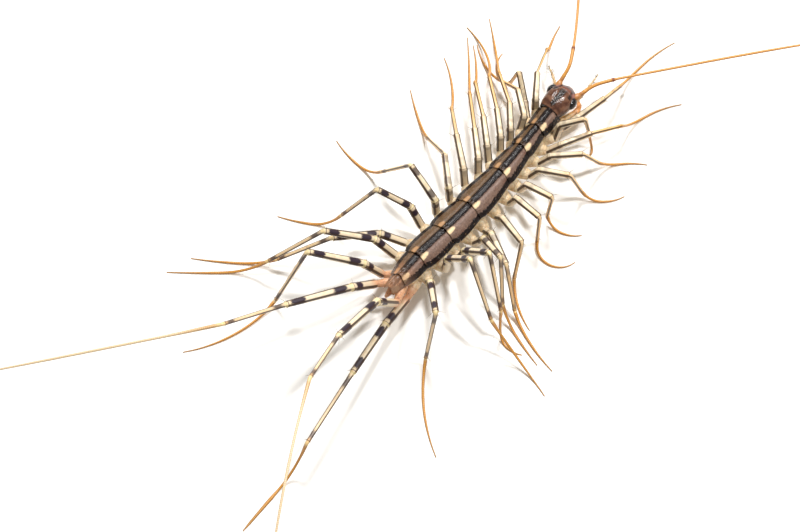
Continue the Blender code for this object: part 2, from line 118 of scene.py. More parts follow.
# Sides of the tubes that stand for limbs
LEG_SHELL_SIDES = 16
CLAW_SIDES = 20
PALP_SIDES = 14
COXA_SIDES = 14
ANTENNA_SIDES = 12
SEAT_SIDES = 20

# Distance of the dark node from an antenna's base
ANTENNA_NODE = 3.7


def linear(*levels):
    """A colour from its 0 to 255 levels on a screen."""
    shares = [level / 255 for level in levels]
    return tuple(s / 12.92 if s <= 0.04045 else ((s + 0.055) / 1.055) ** 2.4 for s in shares)


def neck_place():
    """The middle of the neck on the floor, from two nodes whose stations are known."""
    low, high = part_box("telson")
    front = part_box("trunk_middle")[1].y
    return np.array(((low.x + high.x) / 2, front + MIDDLE_TRUNK_FRONT * MM, 0.0))


NECK = neck_place()


def size_property(name, description, default):
    return bpy.props.FloatProperty(
        name=name, description=description, default=default, unit="LENGTH", precision=5)


def colour_property(name, description, *levels):
    return bpy.props.FloatVectorProperty(
        name=name, description=description, default=linear(*levels), size=3, min=0, max=1, subtype="COLOR")


class CentipedeSizes(bpy.types.PropertyGroup):
    stripe: size_property("Back stripe", "Half the width of the dark stripe along the back", 0.00036)
    edge_band: size_property("Edge band", "Width of the dark band along each side of a back plate", 0.00043)
    notch: size_property("Plate notch", "How far each plate's hind margin is notched at the middle", 0.0002)
    annulus: size_property("Feeler ring", "Length of one ring of a tarsus or an antenna", 0.00018)
    spur: size_property("Leg spur", "Length of the spurs at the leg joints", 0.0009)
    hair: size_property("Fine hair", "Length of the fine hairs on limbs and feelers", 0.00026)
    flesh_cell: size_property("Flesh detail", "Cell size at which the flesh becomes one skin", 0.000085)


class CentipedeColours(bpy.types.PropertyGroup):
    panel: colour_property("Panel", "Olive brown of the plates' left panels", 92, 68, 42)
    # Painted sheen: the right panels' mauve brown is the olive brown as if glancing light fell on it
    panel_sheen: colour_property("Panel with painted sheen", "Mauve brown of the plates' right panels", 118, 94, 82)
    stripe: colour_property("Stripe", "Black violet of the stripe and the edge bands", 20, 11, 12)
    # The saddle colour is the patch as lit on the right side; its left side is painted in shade, tan
    saddle: colour_property("Saddle", "Pale patch at each plate's hind margin", 232, 206, 164)
    head: colour_property("Head", "Reddish brown of the head shell", 74, 42, 30)
    flesh: colour_property("Flesh", "Beige of flanks, belly and leg bases", 222, 202, 168)
    tail: colour_property("Tail", "Orange pink of the last segments", 206, 150, 112)
    cream: colour_property("Cream", "Pale ground of the legs", 228, 212, 184)
    band: colour_property("Leg band", "Black violet of the bands on the hind legs", 44, 30, 44)
    edge: colour_property("Leg edge", "Dark brown of the lines along the legs", 52, 30, 20)
    tan: colour_property("Tan", "Orange tan of the tibiae", 218, 176, 116)
    feeler: colour_property("Feeler", "Orange brown of tarsi and antennae", 206, 146, 62)
    bristle: colour_property("Bristle", "Grey olive of spurs and hairs", 104, 92, 62)


def sizes():
    """The scene's own sizes, in metres."""
    return bpy.context.scene.centipede_sizes


def colours():
    """The scene's own colours."""
    return bpy.context.scene.centipede_colours


# Shader values


def feed(tree, target, given):
    """Gives a socket a value on its way, another socket or a constant."""
    if isinstance(given, Value):
        given = given.socket
    if isinstance(given, bpy.types.NodeSocket):
        tree.links.new(given, target)
    else:
        target.default_value = given


def add_node(tree, kind, fixed, inputs):
    """A node with its fixed settings and inputs. An input is a socket's name or place and what it gets."""
    made = tree.nodes.new(kind)
    for key, setting in fixed.items():
        setattr(made, key, setting)
    for key, given in inputs:
        feed(tree, made.inputs[key], given)
    return made


def math_method(operation):
    """A method that sends a value, and what it is joined with, through one math node."""
    return lambda value, *others: value.math(operation, *others)


class Value:
    """A number on its way through a material's nodes, used like a number in an expression."""

    def __init__(self, finish, socket):
        self.finish = finish
        self.socket = socket

    def math(self, operation, *others):
        return self.finish.number("ShaderNodeMath", {"operation": operation}, self, *others)

    __add__ = __radd__ = math_method("ADD")
    __sub__ = math_method("SUBTRACT")
    __mul__ = __rmul__ = math_method("MULTIPLY")
    __truediv__ = math_method("DIVIDE")
    __pow__ = math_method("POWER")
    __abs__ = math_method("ABSOLUTE")
    either = math_method("MAXIMUM")

    def __neg__(self):
        return self * -1

    def __rsub__(self, other):
        return -self + other

    def ramp(self, low, high):
        """0 below low, 1 above high, and smooth between them."""
        return self.finish.number("ShaderNodeMapRange", {"interpolation_type": "SMOOTHSTEP"}, self, low, high)

    def between(self, low, high, soft):
        """1 from low to high, with edges that soft."""
        return self.ramp(low - soft, low + soft) * (1 - self.ramp(high - soft, high + soft))

    def within(self, *spans):
        """1 inside any of the spans, each given as for between."""
        inside = self.between(*spans[0])
        for span in spans[1:]:
            inside = inside.either(self.between(*span))
        return inside


class Finish:
    """A material under construction."""

    def __init__(self, name, slot):
        self.material = bpy.data.materials.new(name)
        self.material.use_nodes = True
        self.tree = self.material.node_tree
        self.shader = self.tree.nodes["Principled BSDF"]
        self.slot = slot
        self.colour = None

    def node(self, kind, fixed, *inputs, output=0, **named):
        """The socket that a node gives, from its inputs in order or by name."""
        return add_node(self.tree, kind, fixed, [*enumerate(inputs), *named.items()]).outputs[output]

    def number(self, *node, **named):
        """The same as node, for a number to go on with."""
        return Value(self, self.node(*node, **named))

    def attribute(self, name):
        """The three values that a piece's points carry under that name."""
        vector = self.node("ShaderNodeAttribute", {"attribute_name": name}, output=1)
        parts = add_node(self.tree, "ShaderNodeSeparateXYZ", {}, [(0, vector)])
        return [Value(self, socket) for socket in parts.outputs]

    def place(self):
        """Object coordinates."""
        return self.node("ShaderNodeTexCoord", {}, output=3)

    def grain(self, size, detail=2.0, rough=0.5):
        """Noise of about 0 to 1 whose features are so many millimetres across."""
        return self.number("ShaderNodeTexNoise", {}, self.place(), Scale=1 / (size * MM), Detail=detail,
                           Roughness=rough)

    def grain_at(self, *places):
        """Noise of about 0 to 1 over three values of the surface's own."""
        vector = self.node("ShaderNodeCombineXYZ", {}, *places)
        return self.number("ShaderNodeTexNoise", {}, vector, Scale=1.0, Detail=2.0)

    def cells(self, size, feature="F1"):
        """Cells so many millimetres across."""
        return self.number("ShaderNodeTexVoronoi", {"feature": feature}, self.place(), Scale=1 / (size * MM))

    def mix(self, factor, first, second):
        """One colour turning into another as the factor goes from 0 to 1."""
        inputs = [(0, factor)]
        for place, given in ((6, first), (7, second)):
            inputs.append((place, given if isinstance(given, bpy.types.NodeSocket) else (*given, 1.0)))
        return add_node(self.tree, "ShaderNodeMix", {"data_type": "RGBA"}, inputs).outputs[2]

    def paint(self, factor, given):
        """Lays a colour over the base colour so far."""
        self.colour = self.mix(factor, self.colour, given)

    def put(self, name, given):
        feed(self.tree, self.shader.inputs[name], given)

    def coat(self, roughness):
        """Gives the shader the base colour so far and its roughness."""
        self.put("Base Color", self.colour)
        self.put("Roughness", roughness)

    def bump(self, height, depth):
        """Surface relief so many millimetres deep."""
        self.put("Normal", self.node("ShaderNodeBump", {}, Strength=1.0, Distance=depth * MM, Height=height))

    def soft(self, weight, reach):
        """Light that enters the surface and comes out again, as in thin pale shell."""
        self.put("Subsurface Weight", weight)
        self.put("Subsurface Scale", reach * MM)
        self.put("Subsurface Radius", SOFT_COLOURS)


# Meshes


def link_object(name, data):
    """A new object in the scene."""
    obj = bpy.data.objects.new(name, data)
    bpy.context.scene.collection.objects.link(obj)
    return obj


def lay_vectors(mesh, name, vectors):
    """Keeps three values for each point of a mesh under a name."""
    layer = mesh.attributes.new(name, "FLOAT_VECTOR", "POINT")
    layer.data.foreach_set("vector", np.asarray(vectors, np.float32).ravel())


def point_places(mesh):
    """Where a mesh's points are, in metres."""
    places = np.zeros(len(mesh.vertices) * 3, np.float32)
    mesh.vertices.foreach_get("co", places)
    return places.reshape(-1, 3)


def make_piece(name, points, faces, finish, values=None):
    """A smooth mesh object from points in metres, with its own values at each point."""
    mesh = bpy.data.meshes.new(name)
    mesh.from_pydata(np.asarray(points).tolist(), [], faces)
    for key, given in (values or {}).items():
        lay_vectors(mesh, key, given)
    mesh.materials.append(finish.material)
    mesh.shade_smooth()
    return link_object(name, mesh)


def settle_piece(obj, finish, *nodes):
    """Rides a finished piece on the body and lets it stand for its solids."""
    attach(obj, BODY)
    if nodes:
        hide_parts(*nodes)
    return obj


def tube_faces(rings, sides):
    """Faces that join rings of points and close both ends on a pole, the poles coming after the rings."""
    faces = []
    for ring in range(rings - 1):
        start = ring * sides
        for k in range(sides):
            n = (k + 1) % sides
            faces.append((start + k, start + n, start + sides + n, start + sides + k))
    pole = rings * sides
    last = pole - sides
    for k in range(sides):
        n = (k + 1) % sides
        faces.append((pole, n, k))
        faces.append((pole + 1, last + k, last + n))
    return faces


def unit(vectors):
    """Vectors brought to length 1."""
    return vectors / np.maximum(np.linalg.norm(vectors, axis=-1, keepdims=True), 1e-12)


def turns(count):
    """Even angles round a full turn."""
    return 2 * math.pi * np.arange(count) / count


def boxed(values, power):
    """Values of -1 to 1 pushed outwards, which makes a round section boxier."""
    return np.sign(values) * np.abs(values) ** power


def line_frames(line):
    """Directions ahead, across and up along a line, turning as little as the line lets them."""
    ahead = unit(np.gradient(line, axis=0))
    across = np.zeros_like(line)
    last = np.cross(ahead[0], (0, 0, 1))
    if np.linalg.norm(last) < 0.05:
        last = np.array((1.0, 0, 0))
    for k, forward in enumerate(ahead):
        last = last - forward * (last @ forward)
        last = last / np.linalg.norm(last)
        across[k] = last
    return ahead, across, np.cross(across, ahead)


def tube_points(line, radii, sides, relief=None):
    """Points of a tube round a line with its two poles last, and the outward direction at each ring point."""
    ahead, across, up = line_frames(line)
    angles = turns(sides)
    outward = across[:, None] * np.sin(angles)[None, :, None] + up[:, None] * np.cos(angles)[None, :, None]
    reach = np.repeat(np.asarray(radii)[:, None], sides, 1)
    if relief is not None:
        reach = reach * relief
    points = line[:, None] + outward * reach[..., None]
    poles = np.array((line[0] - ahead[0] * radii[0] * 0.3, line[-1] + ahead[-1] * radii[-1] * 0.6))
    return np.concatenate((points.reshape(-1, 3), poles)), outward


def tube_piece(name, line, girth, sides, finish, relief=None, **tracks):
    """A closed tube as a piece, with its outward directions.

    Each name in tracks holds three values, along the tube, round it or constant, and those of its two poles.
    """
    points, outward = tube_points(line, girth, sides, relief)
    values = {}
    for key, (*along, poles) in tracks.items():
        grid = np.stack([np.broadcast_to(track, (len(line), sides)) for track in along], -1)
        values[key] = np.concatenate((grid.reshape(-1, 3), poles))
    return make_piece(name, points, tube_faces(len(line), sides), finish, values), outward


def limb_rings(node, sides):
    """Centres and radii of the rings of a tube-shaped solid, from its thick root to its tip."""
    work = bmesh.new()
    work.from_mesh(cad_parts[node].data)
    bmesh.ops.remove_doubles(work, verts=work.verts, dist=2e-6)
    work.normal_update()
    caps = []
    unseen = set(work.faces)
    while unseen:
        patch = [unseen.pop()]
        for face in patch:
            for other in {other for edge in face.edges for other in edge.link_faces}:
                if other in unseen and other.normal.dot(patch[0].normal) > 0.9999:
                    unseen.remove(other)
                    patch.append(other)
        corners = {vertex for face in patch for vertex in face.verts}
        if len(corners) != sides:
            continue
        centre = sum((vertex.co for vertex in corners), Vector()) / sides
        reach = [(vertex.co - centre).length for vertex in corners]
        if max(reach) < 1.03 * min(reach):
            caps.append((max(reach), corners))
    layer = max(caps, key=lambda cap: cap[0])[1]
    seen = set(layer)
    centres, radii = [], []
    while layer:
        centre = sum((vertex.co for vertex in layer), Vector()) / len(layer)
        centres.append(centre)
        radii.append(sum((vertex.co - centre).length for vertex in layer) / len(layer))
        joined = {edge.other_vert(vertex) for vertex in layer for edge in vertex.link_edges} - seen
        layer = sorted(joined, key=lambda vertex: (vertex.co - centre).length)[:sides]
        seen |= set(layer)
    work.free()
    return np.array(centres), np.array(radii)


def curve(t, stretch, start, end, start_slope, end_slope):
    """A smooth way from start to end as t goes from 0 to 1, over a stretch and with a slope at each end."""
    return ((2 * t ** 3 - 3 * t ** 2 + 1) * start + (t ** 3 - 2 * t ** 2 + t) * stretch * start_slope
            + (3 * t ** 2 - 2 * t ** 3) * end + (t ** 3 - t ** 2) * stretch * end_slope)


def smooth_line(points, spacing, track):
    """Even samples of a smooth curve through points, their distances and a value that runs along it."""
    steps = np.linalg.norm(np.diff(points, axis=0), axis=1)
    knots = np.concatenate(((0.0,), np.cumsum(steps)))
    slopes = np.gradient(points, knots, axis=0)
    count = max(4, int(round(knots[-1] / spacing)))
    along = np.linspace(0, knots[-1], count + 1)
    k = np.clip(np.searchsorted(knots, along, side="right") - 1, 0, len(knots) - 2)
    stretch = (knots[k + 1] - knots[k])[:, None]
    t = (along - knots[k])[:, None] / stretch
    line = curve(t, stretch, points[k], points[k + 1], slopes[k], slopes[k + 1])
    return line, along, np.interp(along, knots, track)


# The trunk's own shape


def spine_x(station):
    """How far the bowed spine lies off the straight line."""
    if station <= 0:
        return SPINE_BOW * math.pi / BOW_LENGTH * station
    return SPINE_BOW * math.sin(math.pi * min(station, BOW_LENGTH) / BOW_LENGTH)


def half_width(station):
    """Half the back's width at a station: fuller up to the widest one, then tapering to the tail."""
    if station < WIDEST_STATION:
        rise = (1 - math.cos(math.pi * max(station, 0) / WIDEST_STATION)) / 2
        return NECK_HALF_WIDTH + (WIDEST_HALF_WIDTH - NECK_HALF_WIDTH) * rise
    return WIDEST_HALF_WIDTH * math.cos(math.pi / 2 * ((station - WIDEST_STATION) / TAPER_LENGTH) ** 1.5)


def back_height(station):
    """Height of the back, highest at the trunk's middle."""
    middle = TRUNK_LENGTH / 2
    return BACK_HEIGHT - BACK_SLOPE * ((station - middle) / middle) ** 2


def trunk_point(x, station, z):
    """A place on the trunk in metres, from its distance off the mid line, its station and its height."""
    return NECK + np.array((spine_x(station) + x, -station, z)) * MM


def head_points(x, y, z):
    """Places on the head in metres, from millimetres off its mid line, ahead of its rear margin and up."""
    return NECK + np.stack((HEAD_X + x, HEAD_REAR_Y + y, z), -1) * MM


def ease(value, low, high):
    """0 below low, 1 above high, and smooth between them."""
    t = np.clip((value - low) / (high - low), 0, 1)
    return t * t * (3 - 2 * t)


def hump(value, width):
    """1 at zero, falling off smoothly to either side."""
    return np.exp(-(value / width) ** 2)


# Finishes


def shell_finish():
    """Back plates: brown panels with a painted sheen on the right ones, black-violet stripe and edge bands,
    pale saddles painted shaded on the left and lit on the right, fine glossy granules.
    """
    made = Finish("plate_shell", "back")
    across, hind, rim = made.attribute("plate")
    tail, side = made.attribute("region")[:2]
    coarse = made.grain(0.7, 3)
    fine = made.grain(0.16, 3)
    ragged = made.grain(0.22, 3, 0.7) - 0.5
    # Painted sheen: the right panels turn mauve brown, and the left panels keep the olive brown
    made.colour = made.mix((side + coarse - 0.5).ramp(-0.5, 0.6), colours().panel, colours().panel_sheen)
    made.paint(coarse.ramp(0.55, 0.75) * 0.6, linear(104, 60, 44))
    made.paint(fine.ramp(0.5, 0.75) * 0.4, linear(168, 136, 118))
    made.paint((1 - fine.ramp(0.25, 0.45)) * 0.6, linear(52, 34, 24))
    off = abs(across) + ragged * 0.26
    reach = 0.6 + side * 0.1
    oval = abs((abs(across) - 0.55) / 0.27) ** 2 + abs((hind - 0.3) / reach) ** 2
    saddle = 1 - (oval + ragged * 1.3).ramp(0.55, 1.2)
    # Painted shade and light: the saddle is tan where shaded on the left and cream where lit on the right
    pale = made.mix(side.ramp(-0.2, 0.2), linear(172, 130, 88), colours().saddle)
    made.paint(saddle * 0.93, pale)
    stripe = 1 - off.ramp(sizes().stripe / MM - 0.05, sizes().stripe / MM + 0.05)
    stripe = stripe * (1 - (1 - hind.ramp(0.15, 0.6)) * 0.35)
    band = 1 - (rim + ragged * 0.45).ramp(sizes().edge_band / MM - 0.05, sizes().edge_band / MM + 0.04)
    dark = stripe.either(band)
    made.paint(tail * 0.75, colours().tail)
    made.paint(dark * (1 - tail * 0.45), colours().stripe)
    dots = (1 - made.cells(0.3).ramp(0.1, 0.24)) * band * (1 - (rim - 0.2).ramp(0.0, 0.2))
    made.paint(dots * 0.4, linear(176, 140, 100))
    made.coat(0.36 - dark * 0.2 + coarse * 0.08)
    made.put("Specular IOR Level", 0.36)
    granules = made.cells(0.11) * 0.5 + made.grain(0.09, 3) * 0.8 + made.grain(0.4, 2) * 1.4
    made.bump(granules, 0.04)
    return made


def flesh_finish():
    """Flanks, belly and leg bases: translucent beige, mottled and creased with painted shade along the
    creases, orange pink at the tail.
    """
    made = Finish("soft_flesh", "back")
    tail = made.attribute("region")[0]
    mottle = made.grain(0.55, 4, 0.6)
    made.colour = made.mix(mottle.ramp(0.35, 0.7), colours().flesh, linear(200, 172, 132))
    made.paint(made.grain(0.18, 2).ramp(0.5, 0.75) * 0.5, linear(240, 226, 198))
    creases = made.cells(0.62, "DISTANCE_TO_EDGE")
    # Painted shade: the creases are darkened
    made.paint((1 - creases.ramp(0.0, 0.09)) * 0.35, linear(138, 104, 74))
    made.paint(tail * 0.85, colours().tail)
    streaks = made.grain(0.3, 3).ramp(0.56, 0.66) * tail
    made.paint(streaks * 0.6, linear(120, 44, 30))
    made.coat(0.42)
    made.soft(0.25, 0.5)
    made.bump(creases.ramp(0.0, 0.12) * 0.7 + made.grain(0.12, 3), 0.03)
    return made


def leg_finish():
    """Legs: cream with dark lines along their edges, black-violet bands on the hind pairs, ringed tarsi."""
    made = Finish("leg_shell", "leg")
    run, ridge, top = made.attribute("limb")
    kind, rings = made.attribute("tint")[:2]
    bands = kind.math("MINIMUM", 1.0)
    waver = made.grain(0.35, 3) - 0.5
    fine = made.grain(0.12, 2)
    streaks = made.grain_at(top * 2.2, ridge * 2.2, run * 2.5) - 0.5
    place = run + waver * 0.04
    made.colour = made.mix(made.grain(0.5, 3).ramp(0.4, 0.75) * 0.6, colours().cream, linear(212, 188, 148))
    made.paint((1 - place.ramp(1.7, 2.3)) * 0.5, linear(196, 174, 144))
    tanned = place.ramp(2.5, 3.4) * (1 - bands * 0.6)
    made.paint(tanned, colours().tan)
    made.paint(place.ramp(3.75, 4.1), colours().feeler)
    made.paint(place.ramp(4.55, 5.0) * 0.5, linear(150, 120, 66))
    made.paint(kind.ramp(2.4, 2.8) * place.ramp(3.9, 4.2) * 0.75, linear(232, 218, 186))
    made.paint(kind.ramp(1.2, 1.8) * (1 - place.ramp(0.95, 1.4)), colours().tail)
    drawn = place + streaks * 0.16
    whole = drawn.within((2.09, 2.27, 0.02), (2.72, 2.91, 0.02))
    whole = whole.either(drawn.between(1.62, 1.86, 0.03) * (top + 0.3 + streaks).ramp(-0.2, 0.2))
    ends = drawn.within((3.05, 3.2, 0.04), (3.82, 3.94, 0.03)) * 0.85
    faint = drawn.within((1.78, 1.9, 0.03), (2.16, 2.28, 0.04)) * 0.3
    dark = (whole.either(ends) * bands).either(faint * (1 - bands))
    made.paint(dark, colours().band)
    on_shell = run.between(1.0, 4.0, 0.15)
    lines = (ridge + streaks * 0.5).ramp(0.35, 0.75) * on_shell
    made.paint(lines * 0.92, colours().edge)
    double = (ridge + streaks * 0.3).ramp(0.3, 0.9) * run.ramp(3.9, 4.05) * (0.65 - kind.ramp(2.4, 2.8) * 0.5)
    made.paint(double, linear(118, 66, 24))
    joint = run.within((1.965, 2.03, 0.012), (2.97, 3.03, 0.012), (3.975, 4.02, 0.01))
    made.paint(joint * bands * 0.55, linear(236, 216, 160))
    seam = run.within((1.95, 1.962, 0.006), (2.955, 2.966, 0.005), (3.965, 3.975, 0.004))
    made.paint(seam * 0.85, linear(70, 40, 26))
    phase = rings.math("FRACT")
    grooves = (1 - phase.ramp(0.05, 0.3)) * run.ramp(3.98, 4.05)
    made.paint(grooves * 0.5, linear(96, 58, 24))
    made.coat(0.38)
    made.soft(0.12, 0.3)
    made.bump(fine * 0.6 + made.cells(0.14) * 0.4, 0.014)
    return made


def feeler_finish():
    """Antennae: orange brown, ringed, with a dark reddish node."""
    made = Finish("antenna_shell", "feeler")
    share, ridge = made.attribute("limb")[:2]
    node, root, rings = made.attribute("tint")
    made.colour = made.mix(made.grain(0.6, 2), linear(212, 150, 70), colours().feeler)
    made.paint(ridge.ramp(0.2, 1.0) * 0.6, linear(136, 74, 24))
    made.paint(node, linear(110, 40, 22))
    made.paint(root * 0.6, linear(150, 96, 66))
    grooves = 1 - rings.math("FRACT").ramp(0.05, 0.3)
    made.paint(grooves * 0.5, linear(112, 64, 24))
    made.paint(share.ramp(0.6, 1.0) * 0.5, linear(214, 176, 120))
    made.coat(0.36)
    made.soft(0.1, 0.2)
    made.bump(made.grain(0.08, 2), 0.01)
    return made


def head_finish():
    """Head: glossy reddish-brown dome with a black wrinkled middle, dark rim and a painted mauve highlight
    round the antenna seats.
    """
    made = Finish("head_shell", "head")
    across, ahead = made.attribute("head")[:2]
    seat, rim, under = made.attribute("region")
    waver = made.grain(0.3, 3) - 0.5
    off = abs(across)
    made.colour = made.mix(made.grain(0.5, 3).ramp(0.35, 0.7), colours().head, linear(116, 80, 60))
    made.paint(under, linear(196, 158, 112))
    made.paint(ahead.ramp(2.3, 3.1) * (1 - under) * 0.5, linear(140, 82, 70))
    spread = 0.16 + ahead * 0.07
    middle = 1 - (off + waver * 0.5 - spread).ramp(-0.08, 0.08)
    middle = middle * (ahead + waver * 0.6).between(0.35, 2.45, 0.12)
    creases = abs(off - 0.88 + (ahead - 2.2) * 0.3) + waver * 0.12
    marks = (1 - creases.ramp(0.1, 0.2)) * ahead.between(1.9, 3.1, 0.1)
    dark = middle.either(marks).either(rim).either(1 - (ahead + waver * 0.04).ramp(0.03, 0.08))
    dark = dark.either((ahead + waver * 0.1).between(2.93, 3.3, 0.06) * (1 - under) * 0.7)
    made.paint(dark * 0.93, linear(18, 12, 13))
    # Painted highlight: a mauve sheen round the antenna seats
    made.paint(seat * 0.7, linear(160, 112, 104))
    made.coat(0.2)
    wrinkles = made.grain(0.16, 3, 0.6) * (0.35 + middle)
    made.bump(wrinkles + made.grain(0.4, 2) * 0.8, 0.06)
    return made


def eye_finish():
    """Eyes: glossy black with packed round facets."""
    made = Finish("eye_facets", "eye")
    facets = made.cells(0.075)
    made.colour = made.mix(facets.ramp(0.1, 0.5), linear(26, 22, 26), linear(6, 5, 7))
    made.coat(0.14)
    made.bump(1 - facets, 0.02)
    return made


def mouth_finish():
    """Palps, mouthparts and poison claws: satin beige, orange towards the ends, black at the claw's point."""
    made = Finish("mouthpart_shell", "mouthpart")
    share, claw, ridge = made.attribute("limb")
    made.colour = made.mix(made.grain(0.35, 3).ramp(0.35, 0.7), linear(226, 202, 156), linear(202, 164, 112))
    made.paint(share.ramp(0.3, 0.75) * claw, linear(206, 140, 80))
    made.paint(share.ramp(0.3, 0.9) * (1 - claw) * 0.6, linear(170, 140, 84))
    made.paint(share.ramp(0.84, 0.95) * claw, linear(40, 18, 12))
    made.paint(ridge * 0.5, linear(110, 70, 40))
    made.coat(0.3)
    made.soft(0.15, 0.3)
    made.bump(made.grain(0.1, 3), 0.015)
    return made


def bristle_finish():
    """Bristles: grey olive, darker in patches."""
    made = Finish("bristle", "leg")
    made.colour = made.mix(made.grain(0.8, 2).ramp(0.3, 0.7), colours().bristle, linear(70, 52, 36))
    made.coat(0.4)
    made.bump(made.grain(0.05, 1), 0.004)
    return made


# Bristles, one tree for every group


class Bristles:
    """Gathers the roots of bristles and turns them into one piece."""

    def __init__(self, seed):
        self.draw = np.random.default_rng(seed)
        self.roots, self.lie, self.reach, self.patch = [], [], [], []

    def add(self, root, lie, reach, patch, spread=0.25):
        """A bristle of about that reach in metres, with patch its place on the unrolled limb."""
        lie = unit(np.asarray(lie) + self.draw.normal(0, spread, 3))
        reach *= self.draw.uniform(0.75, 1.2)
        lowest = (0.03 * MM - root[2]) / reach
        if lowest > 0.6:
            return
        if lie[2] < lowest:
            lie[2] = lowest
            lie[:2] *= math.sqrt(1 - lowest ** 2) / max(np.linalg.norm(lie[:2]), 1e-9)
        self.roots.append(root)
        self.lie.append(lie)
        self.reach.append(reach)
        self.patch.append(patch)

    def build(self, name, thickness, finish, sides=4):
        """One piece with a spike on every root, as thick as that at its root."""
        mesh = bpy.data.meshes.new(name)
        mesh.from_pydata(np.array(self.roots).tolist(), [], [])
        lay_vectors(mesh, "lie", self.lie)
        lay_vectors(mesh, "patch", [(u, v, 0) for u, v in self.patch])
        layer = mesh.attributes.new("reach", "FLOAT", "POINT")
        layer.data.foreach_set("value", np.array(self.reach, np.float32))
        obj = link_object(name, mesh)
        modifier = obj.modifiers.new("Bristles", "NODES")
        modifier.node_group = bristle_tree()
        sockets = {item.name: item.identifier for item in modifier.node_group.interface.items_tree
                   if item.item_type == "SOCKET" and item.in_out == "INPUT"}
        modifier[sockets["Thickness"]] = thickness
        modifier[sockets["Sides"]] = sides
        modifier[sockets["Finish"]] = finish.material
        apply_live(obj)
        obj.data.shade_smooth()
        lay_patches(obj.data)
        return settle_piece(obj, finish)


def lay_patches(mesh):
    """Gives each bristle a small patch of the baked map at its root's place."""
    places = np.zeros(len(mesh.vertices) * 3, np.float32)
    mesh.attributes["patch"].data.foreach_get("vector", places)
    places = places.reshape(-1, 3)[:, :2]
    corners = np.zeros(len(mesh.loops), np.int32)
    mesh.loops.foreach_get("vertex_index", corners)
    x, y, z = (point_places(mesh) / MM).T
    inside = np.stack((x + z, y), -1)
    inside = PATCH * (inside - np.floor(inside))
    layer = mesh.uv_layers.new(name="OFBake")
    layer.data.foreach_set("uv", np.clip(places + inside, 0, 1)[corners].astype(np.float32).ravel())


def apply_live(obj):
    """Turns what an object's modifiers make into its plain mesh."""
    bpy.context.view_layer.update()
    shown = obj.evaluated_get(bpy.context.evaluated_depsgraph_get())
    mesh = bpy.data.meshes.new_from_object(shown)
    obj.modifiers.clear()
    obj.data = mesh


def bristle_tree():
    """A tapered spike on every point, along the point's own direction and as long as its own reach."""
    if "Bristles" in bpy.data.node_groups:
        return bpy.data.node_groups["Bristles"]
    tree = bpy.data.node_groups.new("Bristles", "GeometryNodeTree")
    kinds = {"Roots": "Geometry", "Thickness": "Float", "Sides": "Int", "Finish": "Material"}
    for name, kind in kinds.items():
        tree.interface.new_socket(name, in_out="INPUT", socket_type=f"NodeSocket{kind}")
    tree.interface.new_socket("Bristles", in_out="OUTPUT", socket_type="NodeSocketGeometry")

    def add(kind, *inputs, **fixed):
        return add_node(tree, kind, fixed, inputs)

    given = add("NodeGroupInput")
    lie = add("GeometryNodeInputNamedAttribute", ("Name", "lie"), data_type="FLOAT_VECTOR")
    reach = add("GeometryNodeInputNamedAttribute", ("Name", "reach"), data_type="FLOAT")
    spike = add("GeometryNodeMeshCone", ("Vertices", given.outputs["Sides"]), ("Side Segments", 2),
                ("Radius Bottom", given.outputs["Thickness"]), ("Radius Top", 0.0), ("Depth", 1.0))
    turn = add("FunctionNodeAlignRotationToVector", ("Vector", lie.outputs["Attribute"]), axis="Z")
    stretch = add("ShaderNodeCombineXYZ", ("X", 1.0), ("Y", 1.0), ("Z", reach.outputs["Attribute"]))
    points = add("GeometryNodeMeshToPoints", ("Mesh", given.outputs["Roots"]))
    placed = add("GeometryNodeInstanceOnPoints", ("Points", points.outputs[0]),
                 ("Instance", spike.outputs["Mesh"]), ("Rotation", turn.outputs[0]),
                 ("Scale", stretch.outputs[0]))
    real = add("GeometryNodeRealizeInstances", ("Geometry", placed.outputs[0]))
    coloured = add("GeometryNodeSetMaterial", ("Geometry", real.outputs[0]),
                   ("Material", given.outputs["Finish"]))
    result = add("NodeGroupOutput")
    tree.links.new(coloured.outputs[0], result.inputs[0])
    return tree


class Tube:
    """A limb's tube, for bristles to grow on."""

    def __init__(self, line, girth, outward):
        self.line = line
        self.girth = girth
        self.outward = outward
        self.ahead = unit(np.gradient(line, axis=0))

    def grow(self, bristles, k, turn, lift, lie, reach, patch, spread=0.25):
        """One bristle at a turn round a ring, lying outward and ahead by the two shares of lie."""
        out = self.outward[k, turn]
        place = self.line[k] + out * self.girth[k] * lift
        bristles.add(place, out * lie[0] + self.ahead[k] * lie[1], reach, patch, spread)

    def scatter(self, bristles, stops, draws, lift, lie, reach, share, cell):
        """Bristles at random turns round the rings at those stops."""
        for k in stops:
            for turn in bristles.draw.uniform(0, self.outward.shape[1], draws):
                self.grow(bristles, k, int(turn), lift, lie, reach[k], (share[k], cell))


# Back plates


